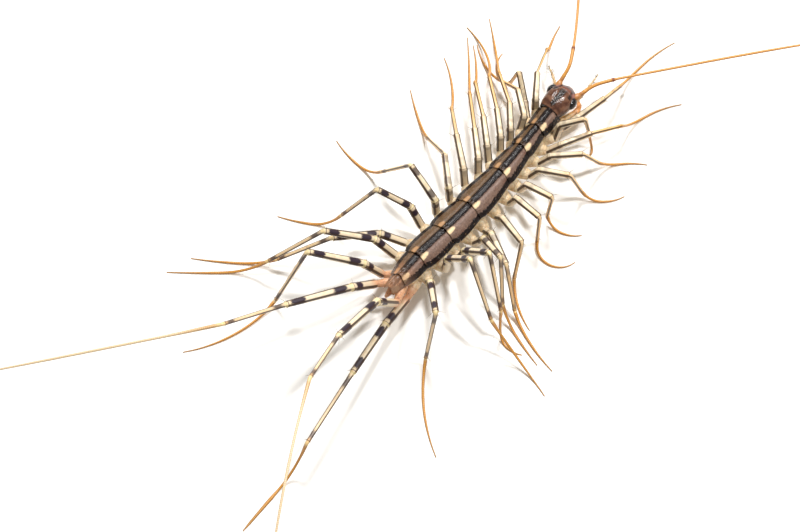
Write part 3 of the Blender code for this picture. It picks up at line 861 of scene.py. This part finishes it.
def plate_shape(number):
    """One back plate as rows of points: a dome with raised side rims, a notched margin and a slit saddle."""
    margin = PLATE_MARGINS[number - 1]
    front = margin - (0.9 if number > 1 else 0.5)
    rear = PLATE_MARGINS[number]
    length = rear - front
    last = number == len(PLATE_MARGINS) - 1
    notch = sizes().notch / MM * (0.4 if last or number == 1 else 1.0)
    rows = max(16, int(length / 0.09))
    columns = 57
    across = np.linspace(-1, 1, columns)
    across = across * (0.72 + 0.28 * across ** 2)
    upper, lower, marks, regions = [], [], [], []
    for row in range(rows + 1):
        level = front + length * row / rows
        share = max(0.0, (level - margin) / (rear - margin))
        breadth = 0.92 + 0.12 * math.sin(math.pi / 2 * min(share / 0.75, 1))
        breadth = breadth - 0.1 * ease(share, 0.8, 1.0) ** 2
        if number == 1:
            breadth = max(breadth, NECK_BREADTH - 0.1 * share ** 2)
        hollow = notch * (1 - across ** 2) ** 2 * ease(share, 0.35, 1.0)
        station = level - hollow
        width = half_width(margin + (rear - margin) * min(share, 0.85)) * breadth
        x = width * across
        z = np.array([back_height(s) for s in station]) - 0.04 + 0.08 * share
        z = z - 0.16 * ease(margin - level, -0.05, 0.4)
        z = z - PLATE_DOME * np.abs(across) ** 2.2
        side_rim = width - np.abs(x)
        hind = (rear - hollow) - station
        z = z + 0.07 * hump(side_rim - 0.06, 0.1) + 0.02 * hump(hind - 0.05, 0.1) * (share > 0.5)
        beads = 0.5 + 0.5 * np.sin(station * 2 * math.pi / 0.43 + x * 3)
        z = z + (0.07 + 0.035 * beads) * hump(x, 0.26) - 0.06 * hump(np.abs(x) - 0.46, 0.13)
        saddle = hump(hind - 0.3, 0.32)
        z = z + saddle * (0.09 * hump(np.abs(x) - 0.2, 0.14) - 0.12 * hump(x, 0.06))
        z = z - 0.05 * hump(side_rim - 0.45, 0.12)
        upper.append(np.stack((x, station, z), -1))
        thick = 0.22 * np.minimum(1, 0.35 + side_rim * 2) * min(1, 0.4 + (1 - share) * 8)
        lower.append(np.stack((x, station, z - thick), -1))
        marks.append(np.stack((x, hind, side_rim), -1))
        tail = np.clip((station - 21.5) / 2.5, 0, 1)
        regions.append(np.stack((tail, np.sign(x), 0 * x), -1))
    return upper, lower, marks, regions


def build_plate(number, finish):
    """One back plate as a closed shell with its own thickness."""
    upper, lower, marks, regions = plate_shape(number)
    rows, columns = len(upper), len(upper[0])
    flat = np.concatenate([np.array(upper).reshape(-1, 3), np.array(lower).reshape(-1, 3)])
    bow = np.array([spine_x(station) for station in flat[:, 1]])
    points = NECK + np.stack((bow + flat[:, 0], -flat[:, 1], flat[:, 2]), -1) * MM
    under = rows * columns
    faces, edges = [], []
    for r in range(rows - 1):
        for c in range(columns - 1):
            a, b = r * columns + c, r * columns + c + 1
            faces.append((a, a + columns, b + columns, b))
            faces.append((under + a, under + b, under + b + columns, under + a + columns))
        left, right = r * columns, (r + 1) * columns - 1
        edges += [(left, left + columns), (right + columns, right)]
    for c in range(columns - 1):
        edges += [(c + 1, c), (under - columns + c, under - columns + c + 1)]
    faces += [(a, under + a, under + b, b) for a, b in edges]
    values = {key: np.concatenate([np.array(given).reshape(-1, 3)] * 2)
              for key, given in (("plate", marks), ("region", regions))}
    obj = make_piece(f"back_plate_{number}", points, faces, finish, values)
    return settle_piece(obj, finish)


# Flesh


def core_shape():
    """Points and faces of the trunk under its plates: rounded flanks, a flat belly with creases."""
    stations = np.arange(-0.1, TRUNK_LENGTH + 0.7, 0.12)
    angles = turns(36)
    rings = []
    pairs = range(1, LEG_PAIRS + 1)
    hips = [(limb_rings(f"leg_left_{pair:02d}", LEG_SIDES)[0][0][1] - NECK[1]) / -MM for pair in pairs]
    bounds = [(a + b) / 2 for a, b in zip(hips, hips[1:])]
    for station in stations:
        inside = min(station, TRUNK_LENGTH)
        close = max(0.0, station - TRUNK_LENGTH + 0.9)
        width = max(half_width(inside) - 0.14 - 0.2 * ease(station, 22.0, 23.5), 0.42)
        width = width * (1 - 0.28 * close ** 2)
        top = back_height(station) - 0.42 - 0.22 * close
        low = BELLY_HEIGHT + 1.1 * ease(station, 22.0, 25.0)
        crease = 1 - 0.07 * sum(hump(station - bound, 0.16) for bound in bounds)
        middle = (top + low) / 2
        x = width * boxed(np.cos(angles), 0.75)
        z = (top - low) / 2 * boxed(np.sin(angles), 0.8)
        z = np.where(z > 0, z - 0.8 * (np.abs(x) / width) ** 3 * (z / (top - low) * 2), z * crease)
        rings.append([trunk_point(a * (crease if b < 0.2 else 1), station, middle + b) for a, b in zip(x, z)])
    rings = np.array(rings)
    poles = np.array((rings[0].mean(0), rings[-1].mean(0) + (0, -0.1 * MM, 0)))
    return np.concatenate((rings.reshape(-1, 3), poles)), tube_faces(*rings.shape[:2])


def coxa_shape(node):
    """A blunt cone from inside the flank to the leg's first joint."""
    centres = limb_rings(node, LEG_SIDES)[0]
    root, hip = centres[0], centres[2]
    outward = unit(hip - root)
    pair = int(node[-2:])
    stout = 0.62 if pair < HIND_PAIRS else 0.44
    shares = np.array((-2.4, -2.0, -1.2, -0.4, 0.1, 0.5, 0.8, 1.0, 1.1))
    girth = np.array((0.3, 0.9, 1.15, 1.12, 1.0, 0.88, 0.76, 0.6, 0.25)) * stout * MM
    line = root + outward * (shares * np.linalg.norm(hip - root))[:, None]
    line[:, 2] += 0.1 * MM * hump(shares, 0.5)
    return tube_points(line, girth, COXA_SIDES)[0], tube_faces(len(line), COXA_SIDES)


def join_skin(name, shapes, finish, cell, rounds):
    """Closed shapes, each of points and faces, joined into one skin at a cell size, then smoothed."""
    points, faces = [], []
    for places, corners in shapes:
        first = sum(len(part) for part in points)
        faces += [tuple(first + i for i in face) for face in corners]
        points.append(places)
    obj = make_piece(name, np.concatenate(points), faces, finish)
    recalculate(obj.data)
    remesh = obj.modifiers.new("Join", "REMESH")
    remesh.mode = "VOXEL"
    remesh.voxel_size = cell
    smooth = obj.modifiers.new("Smooth", "SMOOTH")
    smooth.factor = 0.5
    smooth.iterations = rounds
    apply_live(obj)
    obj.data.materials.clear()
    obj.data.materials.append(finish.material)
    obj.data.shade_smooth()
    return obj


def build_flesh(finish):
    """Core and leg bases joined into one skin."""
    pairs = range(1, LEG_PAIRS + 1)
    bases = [coxa_shape(f"leg_{word}_{pair:02d}") for side, word in SIDES for pair in pairs]
    obj = join_skin("body_skin", [core_shape(), *bases], finish, sizes().flesh_cell, 6)
    places = (point_places(obj.data) - NECK) / MM
    tail = ease(np.abs(places[:, 0]) * 0.25 - places[:, 1], 22.0, 23.6)
    lay_vectors(obj.data, "region", np.repeat(tail, 3))
    return settle_piece(obj, finish, "trunk_front", "trunk_middle", "trunk_rear", "telson")


def recalculate(mesh):
    """Merges doubles and turns every face outwards."""
    work = bmesh.new()
    work.from_mesh(mesh)
    bmesh.ops.remove_doubles(work, verts=work.verts, dist=1e-7)
    bmesh.ops.recalc_face_normals(work, faces=work.faces)
    work.to_mesh(mesh)
    work.free()


# Head


# Distance ahead of the rear margin, half width, and heights of the underside and the top
HEAD_PROFILE = (
    (0.0, 1.1, 2.35, 3.85), (0.35, 1.25, 2.2, 4.1), (1.2, 1.4, 2.1, 4.3), (2.1, 1.44, 2.1, 4.25),
    (2.8, 1.27, 2.15, 3.95), (3.25, 0.88, 2.3, 3.6), (3.5, 0.45, 2.5, 3.3),
)


def head_shape():
    """The head's dome as rings from the neck forward, with creases, bosses and antenna seats."""
    profile = np.array(HEAD_PROFILE)
    stops = np.concatenate((np.linspace(-0.02, 3.3, 46), 3.3 + 0.2 * np.sin(np.linspace(0.2, 1.5, 7))))
    angles = turns(80)
    slopes = np.gradient(profile[:, 1:], profile[:, 0], axis=0)
    rings = []
    for stop in stops:
        k = int(np.clip(np.searchsorted(profile[:, 0], stop) - 1, 0, len(profile) - 2))
        stretch = profile[k + 1, 0] - profile[k, 0]
        t = np.clip((stop - profile[k, 0]) / stretch, 0, 1)
        width, low, high = curve(t, stretch, profile[k, 1:], profile[k + 1, 1:], slopes[k], slopes[k + 1])
        x = width * boxed(np.cos(angles), 0.88)
        z = (low + high) / 2 + (high - low) / 2 * boxed(np.sin(angles), 0.88)
        y = np.full_like(x, stop)
        upper = np.clip(np.sin(angles), 0, 1)
        off = np.abs(x)
        relief = (
            0.07 * hump(y - 0.08, 0.07) - 0.07 * hump(x, 0.07) * ease(y, 0.2, 0.6) * (1 - ease(y, 1.5, 2.1))
            + 0.07 * hump(off - 0.62, 0.3) * hump(y - 1.3, 0.7)
            - 0.08 * hump(off - 0.3 - 0.15 * (y - 1.0), 0.1) * hump(y - 1.5, 0.6)
            + 0.1 * hump(x, 0.28) * hump(y - 2.1, 0.45)
            - 0.09 * hump(off - 0.8 + 0.25 * (y - 2.2), 0.12) * ease(y, 1.9, 2.3)
            - 0.06 * hump(y - 2.75 + 0.25 * off, 0.1))
        z = z + relief * upper
        rings.append(np.stack((x, y, z), -1))
    return np.array(rings)


def build_head(finish):
    """The head's closed shell, with its own places and regions at every point."""
    rings = head_shape()
    count, sides = rings.shape[:2]
    poles = np.array((rings[0].mean(0), rings[-1].mean(0) + (0, 0.03, 0)))
    local = np.concatenate((rings.reshape(-1, 3), poles))
    # Rings here run against the clock as seen from behind, so their faces are turned over
    faces = [face[::-1] for face in tube_faces(count, sides)]
    off = np.abs(local[:, 0])
    rim = hump(local[:, 2] - 3.02, 0.28) * ease(off, 0.8, 1.1) * (local[:, 1] < 3.1)
    under = 1 - ease(local[:, 2], 2.3, 2.8)
    seat = hump(np.hypot(off - 1.02, local[:, 1] - 2.7), 0.26) * ease(local[:, 2], 2.9, 3.3)
    values = {"head": local, "region": np.stack((seat, rim, under), -1)}
    obj = make_piece("head_shell", head_points(*local.T), faces, finish, values)
    return settle_piece(obj, finish, "head")


def ellipsoid(centre, radii, squareness=1.0):
    """Points and faces of a closed rounded body, boxier as its squareness falls below 1."""
    rows, columns = 26, 36
    latitudes = np.linspace(0, math.pi, rows + 2)[1:-1]
    longitudes = turns(columns)
    x = np.outer(np.sin(latitudes), np.cos(longitudes))
    y = np.outer(np.sin(latitudes), np.sin(longitudes))
    z = np.outer(np.cos(latitudes), np.ones(columns))
    points = np.stack((x, y, z), -1).reshape(-1, 3)
    points = np.concatenate((points, ((0, 0, 1), (0, 0, -1))))
    return boxed(points, squareness) * radii + centre, tube_faces(rows, columns)


def build_eye(side, word, finish):
    """A domed eye that stands a little out of the head."""
    low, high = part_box(f"eye_{word}")
    outer = low.x if side < 0 else high.x
    centre = np.array((outer - side * 0.48 * MM, (low.y + high.y) / 2, (low.z + high.z) / 2))
    dome = ellipsoid(centre, np.array((0.56, 0.66, 0.56)) * MM, 0.92)
    obj = make_piece(f"eye_dome_{word}", *dome, finish)
    recalculate(obj.data)
    return settle_piece(obj, finish, f"eye_{word}")


def build_socket(word, finish):
    """The raised ring that an antenna turns in."""
    centres = limb_rings(f"antenna_{word}", FEELER_SIDES)[0]
    ahead = unit(centres[1] - centres[0])
    shares = np.array((-0.75, -0.5, -0.25, -0.05, 0.05, 0.08))
    girth = np.array((0.34, 0.36, 0.33, 0.27, 0.2, 0.12)) * MM
    line = centres[0] + ahead * (shares * MM)[:, None]
    limb, tint = (0.1, 0, 0), (0, 1, 0.5)
    obj = tube_piece(f"antenna_seat_{word}", line, girth, SEAT_SIDES, finish, limb=(*limb, (limb, limb)),
                     tint=(*tint, (tint, tint)))[0]
    return settle_piece(obj, finish)


def build_mouth(finish):
    """Jaws, lip and the plate that carries the poison claws, joined under the head."""
    # Where each lobe's middle lies on the head, then half its width, length and height
    lobes = (
        (0.0, 0.75, 1.75, 0.62, 0.75, 0.32), (0.0, 2.0, 2.25, 0.68, 1.0, 0.5),
        (0.0, 3.1, 2.45, 0.5, 0.4, 0.35), (0.42, 2.9, 2.2, 0.3, 0.5, 0.35),
        (-0.42, 2.9, 2.2, 0.3, 0.5, 0.35), (0.95, 2.5, 2.1, 0.3, 0.45, 0.3),
        (-0.95, 2.5, 2.1, 0.3, 0.45, 0.3), (0.5, 0.6, 1.45, 0.42, 0.5, 0.3),
        (-0.5, 0.6, 1.45, 0.42, 0.5, 0.3),
    )
    shapes = []
    for x, y, z, *radii in lobes:
        centre = head_points(np.array(x), np.array(y), np.array(z))
        shapes.append(ellipsoid(centre, np.array(radii) * MM))
    obj = join_skin("mouthparts", shapes, finish, MOUTH_CELL, 4)
    lay_vectors(obj.data, "limb", np.zeros((len(obj.data.vertices), 3)))
    return settle_piece(obj, finish)


def build_palp(word, finish, bristles, cell):
    """A jointed palp with a brush of bristles at its end."""
    centres, radii = limb_rings(f"palp_{word}", FEELER_SIDES)
    line, along, girth = smooth_line(centres, 0.07 * MM, radii)
    share = along / along[-1]
    nodes = sum(hump(share - stop, 0.035) for stop in (0.3, 0.62))
    girth = girth * (0.62 - 0.12 * share + 0.14 * nodes)
    joints = hump(share - 0.3, 0.015) + hump(share - 0.62, 0.015)
    obj, outward = tube_piece(f"palp_shell_{word}", line, girth, PALP_SIDES, finish,
                              limb=(share[:, None], 0, joints[:, None], NO_POLES))
    reach = np.where(share > 0.5, 0.62, 0.34) * MM
    stops = range(8, len(line) - 1)
    Tube(line, girth, outward).scatter(bristles, stops, 3, 0.9, (1, 0.8), reach, share, cell)
    return settle_piece(obj, finish, f"palp_{word}")


def build_forcipule(word, finish, bristles, cell):
    """A poison claw: stout at its base, ringed at its joints and drawn out to a dark point."""
    centres, radii = limb_rings(f"forcipule_{word}", LEG_SIDES)
    line, along, girth = smooth_line(centres, 0.07 * MM, radii)
    share = along / along[-1]
    nodes = sum(hump(share - stop, 0.03) for stop in (0.42, 0.6, 0.72))
    girth = girth * (1.0 - 0.08 * nodes) * (1 - 0.75 * ease(share, 0.9, 1.0))
    joints = 0.6 * (hump(share - 0.42, 0.012) + hump(share - 0.6, 0.012))
    obj, outward = tube_piece(f"poison_claw_{word}", line, girth, CLAW_SIDES, finish,
                              limb=(share[:, None], 1, joints[:, None], ((0, 1, 0), (1, 1, 0))))
    reach = np.full(len(line), 0.22 * MM)
    stops = range(4, int(len(line) * 0.8))
    Tube(line, girth, outward).scatter(bristles, stops, 2, 0.95, (1, 0.6), reach, share, cell)
    return settle_piece(obj, finish, f"forcipule_{word}")


# Antennae and legs


def ringed(along, pitch):
    """Swelling of each ring of a feeler and the running count of rings."""
    count = along / pitch
    phase = count - np.floor(count)
    return 0.95 + 0.1 * np.minimum(phase * 1.6, 1), count


def build_antenna(word, finish, bristles, cell):
    """A long ringed feeler: two stout joints, a thick stretch up to a dark node, then a fine whip."""
    centres, radii = limb_rings(f"antenna_{word}", FEELER_SIDES)
    line, along, girth = smooth_line(centres, sizes().annulus / 3, radii)
    millimetres = along / MM
    swell, count = ringed(along, sizes().annulus)
    beyond = millimetres - ANTENNA_NODE
    thin = 0.74 - 0.22 * ease(beyond, 0, 0.4) + 0.1 * hump(beyond, 0.14)
    thin = thin + 0.16 * hump(millimetres - 0.2, 0.22) + 0.12 * hump(millimetres - 0.6, 0.15)
    girth = girth * thin * swell
    share = along / along[-1]
    edges = hump(np.abs(np.sin(turns(ANTENNA_SIDES))) - 0.85, 0.25)
    node, root = hump(beyond, 0.16), 1 - ease(millimetres, 0.3, 0.6)
    obj, outward = tube_piece(f"antenna_shell_{word}", line, girth, ANTENNA_SIDES, finish,
                              limb=(share[:, None], edges, 0, ((0, 0, 0), (1, 0, 0))),
                              tint=(node[:, None], root[:, None], count[:, None], NO_POLES))
    reach = np.full(len(line), sizes().hair * 0.8)
    stops = range(6, len(line) - 2, 3)
    Tube(line, girth, outward).scatter(bristles, stops, 2, 0.9, (0.7, 1), reach, share, cell)
    return settle_piece(obj, finish, f"antenna_{word}")


def leg_line(centres):
    """A leg's middle line with rounded joints: places, running count of parts, and part-by-part distances."""
    corners = [centres[k] for k in LEG_JOINTS]
    lengths = [np.linalg.norm(b - a) for a, b in zip(corners, corners[1:])]
    samples = []
    back_offs = [0.0] + [np.linalg.norm(centres[k] - centres[k - 1]) for k in LEG_JOINTS[1:4]] + [0.3 * MM]
    leads = [0.0] + [np.linalg.norm(centres[k + 1] - centres[k]) for k in LEG_JOINTS[1:4]] + [0.0]
    for part in range(4):
        start, end = corners[part], corners[part + 1]
        ahead = (end - start) / lengths[part]
        near, far = leads[part], lengths[part] - back_offs[part + 1]
        steps = max(3, int((far - near) / (0.13 * MM)))
        for distance in np.linspace(near, far, steps):
            samples.append((start + ahead * distance, part, distance))
        if part == 3:
            break
        beyond = unit(corners[part + 2] - end)
        before, after = end - ahead * back_offs[part + 1], end + beyond * leads[part + 1]
        for t in np.linspace(0, 1, 8)[1:-1]:
            weights = np.array(((1 - t) ** 2, 3.4 * t * (1 - t), t * t))
            place = (weights[0] * before + weights[1] * end + weights[2] * after) / weights.sum()
            if t < 0.5:
                samples.append((place, part, lengths[part] - back_offs[part + 1] * (1 - 2 * t)))
            else:
                samples.append((place, part + 1, leads[part + 1] * (2 * t - 1)))
    return samples, lengths


def leg_girth(part, distance, length, start, end):
    """Thickness along one part of a leg: narrow at its root, fuller towards its end, pinched at the joint."""
    to_end = (length - distance) / MM
    from_start = distance / MM
    base = start + (end - start) * distance / length
    base *= 1 - 0.22 * ease(part + distance / length, 2.9, 3.1)
    factor = 0.95 - 0.12 * math.exp(-(from_start / 0.13) ** 2)
    factor += 0.07 * math.exp(-((to_end - 0.26) / 0.2) ** 2) - 0.12 * math.exp(-(to_end / 0.07) ** 2)
    return base * factor


def build_leg(word, pair, finish, spurs, hairs, cell):
    """One leg: coxa, prefemur, femur and tibia with ridged edges, and a finely ringed tarsus."""
    sides = LEG_SHELL_SIDES
    node = f"leg_{word}_{pair:02d}"
    centres, radii = limb_rings(node, LEG_SIDES)
    samples, lengths = leg_line(centres)
    ends = ((radii[0], radii[1]), (radii[3], radii[4]), (radii[6], radii[7]), (radii[9], radii[10]))
    places = [place for place, part, distance in samples]
    run = [part + distance / lengths[part] for place, part, distance in samples]
    girth = [leg_girth(part, distance, lengths[part], *ends[part]) for place, part, distance in samples]
    if pair == 1 and word == "left":
        girth = [thick * (0.62 if part == 3 else 1) for thick, (place, part, distance) in zip(girth, samples)]
    joints = len(places)
    ankle = LEG_JOINTS[4]
    tarsus, along, thick = smooth_line(centres[ankle:], sizes().annulus / 3, radii[ankle:])
    share = along / along[-1]
    slim = 0.74 - 0.2 * ease(share, 0.0, 0.2) - 0.08 * share
    swell, count = ringed(along, sizes().annulus)
    tarsus = tarsus.copy()
    tarsus[:, 2] -= thick * math.cos(math.pi / LEG_SIDES) * (1 - slim) * ease(share, 0, 0.12)
    line = np.concatenate((np.array(places), tarsus[1:]))
    girth = np.concatenate((girth, (thick * slim * swell)[1:]))
    run = np.concatenate((run, 4 + share[1:]))
    rings = np.concatenate((np.full(joints, 0.5), count[1:]))
    top = np.cos(turns(sides))
    ridge = np.zeros(sides)
    ridge[[2, 3, 13, 14]] = 1
    shell = np.where(run < 4, 1.0, 0.25) * ease(run, 0.8, 1.1)
    relief = 1 + (0.05 * ridge - 0.03 * np.cos(2 * turns(sides))) * shell[:, None]
    kind = np.clip((pair - 7.5) / 3.0, 0, 1) + max(0, pair - HIND_PAIRS + 1)
    obj, outward = tube_piece(f"leg_shell_{word}_{pair:02d}", line, girth, sides, finish, relief,
                              limb=(run[:, None], ridge, top, ((0, 0, 0), (5, 0, 0))),
                              tint=(kind, rings[:, None], 0, ((kind, 0, 0), (kind, 0, 0))))
    settle_piece(obj, finish, node)
    grow_leg_bristles(Tube(line, girth, outward), run, lengths, spurs, hairs, cell)


def grow_leg_bristles(tube, run, lengths, spurs, hairs, cell):
    """Spurs round the end of each part, short spines along its ridges and fine hairs under the tarsus."""
    hair = sizes().hair
    for part, places in ((1, (2, 7, 14)), (2, (1, 4, 9, 12)), (3, (3, 8, 13))):
        at = part + 1 - 0.22 * MM / lengths[part]
        k = int(np.argmin(np.abs(run - at)))
        reach = sizes().spur * (1.0 if part < 3 else 0.6)
        for turn in places:
            tube.grow(spurs, k, turn, 0.9, (1, 0.75), reach, ((run[k] - 1) / 4, cell), 0.12)
    for k in range(0, len(run) - 2, 3):
        patch = (run[k] / 5, cell)
        if 1.05 < run[k] < 3.95:
            tube.grow(hairs, k, (3, 13, 7, 9)[k // 3 % 4], 1, (0.6, 1), hair * 0.8, patch, 0.15)
        if run[k] > 4.02:
            turn = (7, 9, 5, 11, 8)[k // 3 % 5]
            if tube.line[k][2] - hair * 0.5 > 0.0 or tube.outward[k, turn][2] > -0.1:
                tube.grow(hairs, k, turn, 0.9, (0.5, 1), hair * 0.6, patch, 0.1)
            tube.grow(hairs, k, (2, 14, 0)[k // 3 % 3], 0.9, (0.6, 1), hair * 0.5, patch, 0.15)


# Operators


class CENTIPEDE_OT_flesh(bpy.types.Operator):
    """Builds the trunk's one soft skin, with the leg bases joined to it"""
    bl_idname = "centipede.flesh"
    bl_label = "Flesh"

    def execute(self, context):
        build_flesh(flesh_finish())
        return {"FINISHED"}


class CENTIPEDE_OT_plates(bpy.types.Operator):
    """Builds the back plates from neck to tail"""
    bl_idname = "centipede.plates"
    bl_label = "Back plates"

    def execute(self, context):
        finish = shell_finish()
        for number in range(1, len(PLATE_MARGINS)):
            build_plate(number, finish)
        return {"FINISHED"}


class CENTIPEDE_OT_head(bpy.types.Operator):
    """Builds the head shell, the eyes, the mouthparts, the palps and the poison claws"""
    bl_idname = "centipede.head"
    bl_label = "Head"

    def execute(self, context):
        build_head(head_finish())
        black, beige = eye_finish(), mouth_finish()
        build_mouth(beige)
        bristles = Bristles(11)
        for row, (side, word) in enumerate(SIDES):
            build_eye(side, word, black)
            build_palp(word, beige, bristles, 0.1 + 0.2 * row)
            build_forcipule(word, beige, bristles, 0.5 + 0.2 * row)
        bristles.build("mouth_bristles", MOUTH_BRISTLE_RADIUS, bristle_finish())
        return {"FINISHED"}


class CENTIPEDE_OT_antennae(bpy.types.Operator):
    """Builds both antennae with their seats and hairs"""
    bl_idname = "centipede.antennae"
    bl_label = "Antennae"

    def execute(self, context):
        finish = feeler_finish()
        hairs = Bristles(12)
        for row, (side, word) in enumerate(SIDES):
            build_socket(word, finish)
            build_antenna(word, finish, hairs, 0.25 + 0.5 * row)
        hairs.build("antenna_hairs", ANTENNA_HAIR_RADIUS, bristle_finish(), 3)
        return {"FINISHED"}


class CENTIPEDE_OT_legs(bpy.types.Operator):
    """Builds the thirty legs with their spurs and hairs"""
    bl_idname = "centipede.legs"
    bl_label = "Legs"

    def execute(self, context):
        finish = leg_finish()
        spurs, hairs = Bristles(13), Bristles(14)
        for row, (side, word) in enumerate(SIDES):
            for pair in range(1, LEG_PAIRS + 1):
                build_leg(word, pair, finish, spurs, hairs, (pair + LEG_PAIRS * row) / 32)
        bristle = bristle_finish()
        spurs.build("leg_spurs", SPUR_RADIUS, bristle)
        hairs.build("leg_hairs", HAIR_RADIUS, bristle, 3)
        return {"FINISHED"}


class CENTIPEDE_OT_stage(bpy.types.Operator):
    """Sets up the pale floor, the soft light and the camera"""
    bl_idname = "centipede.stage"
    bl_label = "Stage"

    def execute(self, context):
        build_floor()
        build_lights()
        build_camera()
        return {"FINISHED"}


def build_floor():
    """A wide pale floor, which belongs to the stage only."""
    made = Finish("stage_floor", "back")
    made.put("Base Color", (0.93, 0.925, 0.915, 1))
    made.put("Roughness", 0.9)
    made.put("Specular IOR Level", 0.1)
    mesh = bpy.data.meshes.new("floor")
    reach = 1.5
    corners = ((-reach, -reach, 0), (reach, -reach, 0), (reach, reach, 0), (-reach, reach, 0))
    mesh.from_pydata(corners, [], [(0, 1, 2, 3)])
    mesh.materials.append(made.material)
    floor = link_object("floor", mesh)


def build_lights():
    """Soft warm light from all round, a key lamp and a small one for glints."""
    world = bpy.data.worlds.new("studio")
    world.use_nodes = True
    world.node_tree.nodes["Background"].inputs[0].default_value = (1.0, 0.94, 0.84, 1)
    world.node_tree.nodes["Background"].inputs[1].default_value = 0.42
    bpy.context.scene.world = world
    # Name, place, width and power
    lamps = (
        ("key", (-0.12, 0.17, 0.32), 0.07, 1.3),
        ("glint", (0.085, 0.125, 0.33), 0.03, 0.7),
    )
    for name, place, size, power in lamps:
        lamp = bpy.data.lights.new(name, "AREA")
        lamp.shape = "DISK"
        lamp.size = size
        lamp.energy = power
        obj = link_object(name, lamp)
        obj.location = place
        obj.rotation_euler = (-Vector(place)).to_track_quat("-Z", "Y").to_euler()
    bpy.context.scene.view_settings.view_transform = "Standard"


def build_camera():
    """The photograph's view, over the animal's right side and from behind."""
    azimuth, elevation = math.radians(VIEW_AZIMUTH), math.radians(VIEW_ELEVATION)
    back = np.array((math.sin(azimuth) * math.cos(elevation), -math.cos(azimuth) * math.cos(elevation),
                     math.sin(elevation)))
    place = NECK + (np.array(VIEW_TARGET) + back * VIEW_DISTANCE) * MM
    lens = bpy.data.cameras.new("view")
    lens.lens = VIEW_LENS
    lens.sensor_width = SENSOR_WIDTH
    lens.clip_start = 0.01
    camera = link_object("view", lens)
    camera.location = place
    camera.rotation_euler = Vector(back).to_track_quat("Z", "Y").to_euler()
    bpy.context.scene.camera = camera


class CENTIPEDE_PT_panel(bpy.types.Panel):
    """Lists the pieces in the order they are built"""
    bl_idname = "CENTIPEDE_PT_panel"
    bl_label = "House Centipede"
    bl_space_type = "VIEW_3D"
    bl_region_type = "UI"
    bl_category = "Centipede"

    def draw(self, context):
        layout = self.layout
        for operator in OPERATORS:
            layout.operator(operator.bl_idname)
        for group in (context.scene.centipede_sizes, context.scene.centipede_colours):
            for key in group.bl_rna.properties.keys():
                if key not in ("rna_type", "name"):
                    layout.prop(group, key)


OPERATORS = (CENTIPEDE_OT_stage, CENTIPEDE_OT_flesh, CENTIPEDE_OT_plates, CENTIPEDE_OT_head,
             CENTIPEDE_OT_antennae, CENTIPEDE_OT_legs)
CLASSES = (CentipedeSizes, CentipedeColours, *OPERATORS, CENTIPEDE_PT_panel)


def register():
    for item in CLASSES:
        bpy.utils.register_class(item)
    bpy.types.Scene.centipede_sizes = bpy.props.PointerProperty(type=CentipedeSizes)
    bpy.types.Scene.centipede_colours = bpy.props.PointerProperty(type=CentipedeColours)


def unregister():
    del bpy.types.Scene.centipede_colours
    del bpy.types.Scene.centipede_sizes
    for item in reversed(CLASSES):
        bpy.utils.unregister_class(item)


def main():
    register()
    bpy.ops.centipede.stage()
    bpy.ops.centipede.flesh()
    bpy.ops.centipede.plates()
    bpy.ops.centipede.head()
    bpy.ops.centipede.antennae()
    bpy.ops.centipede.legs()


if __name__ == "__main__":
    main()
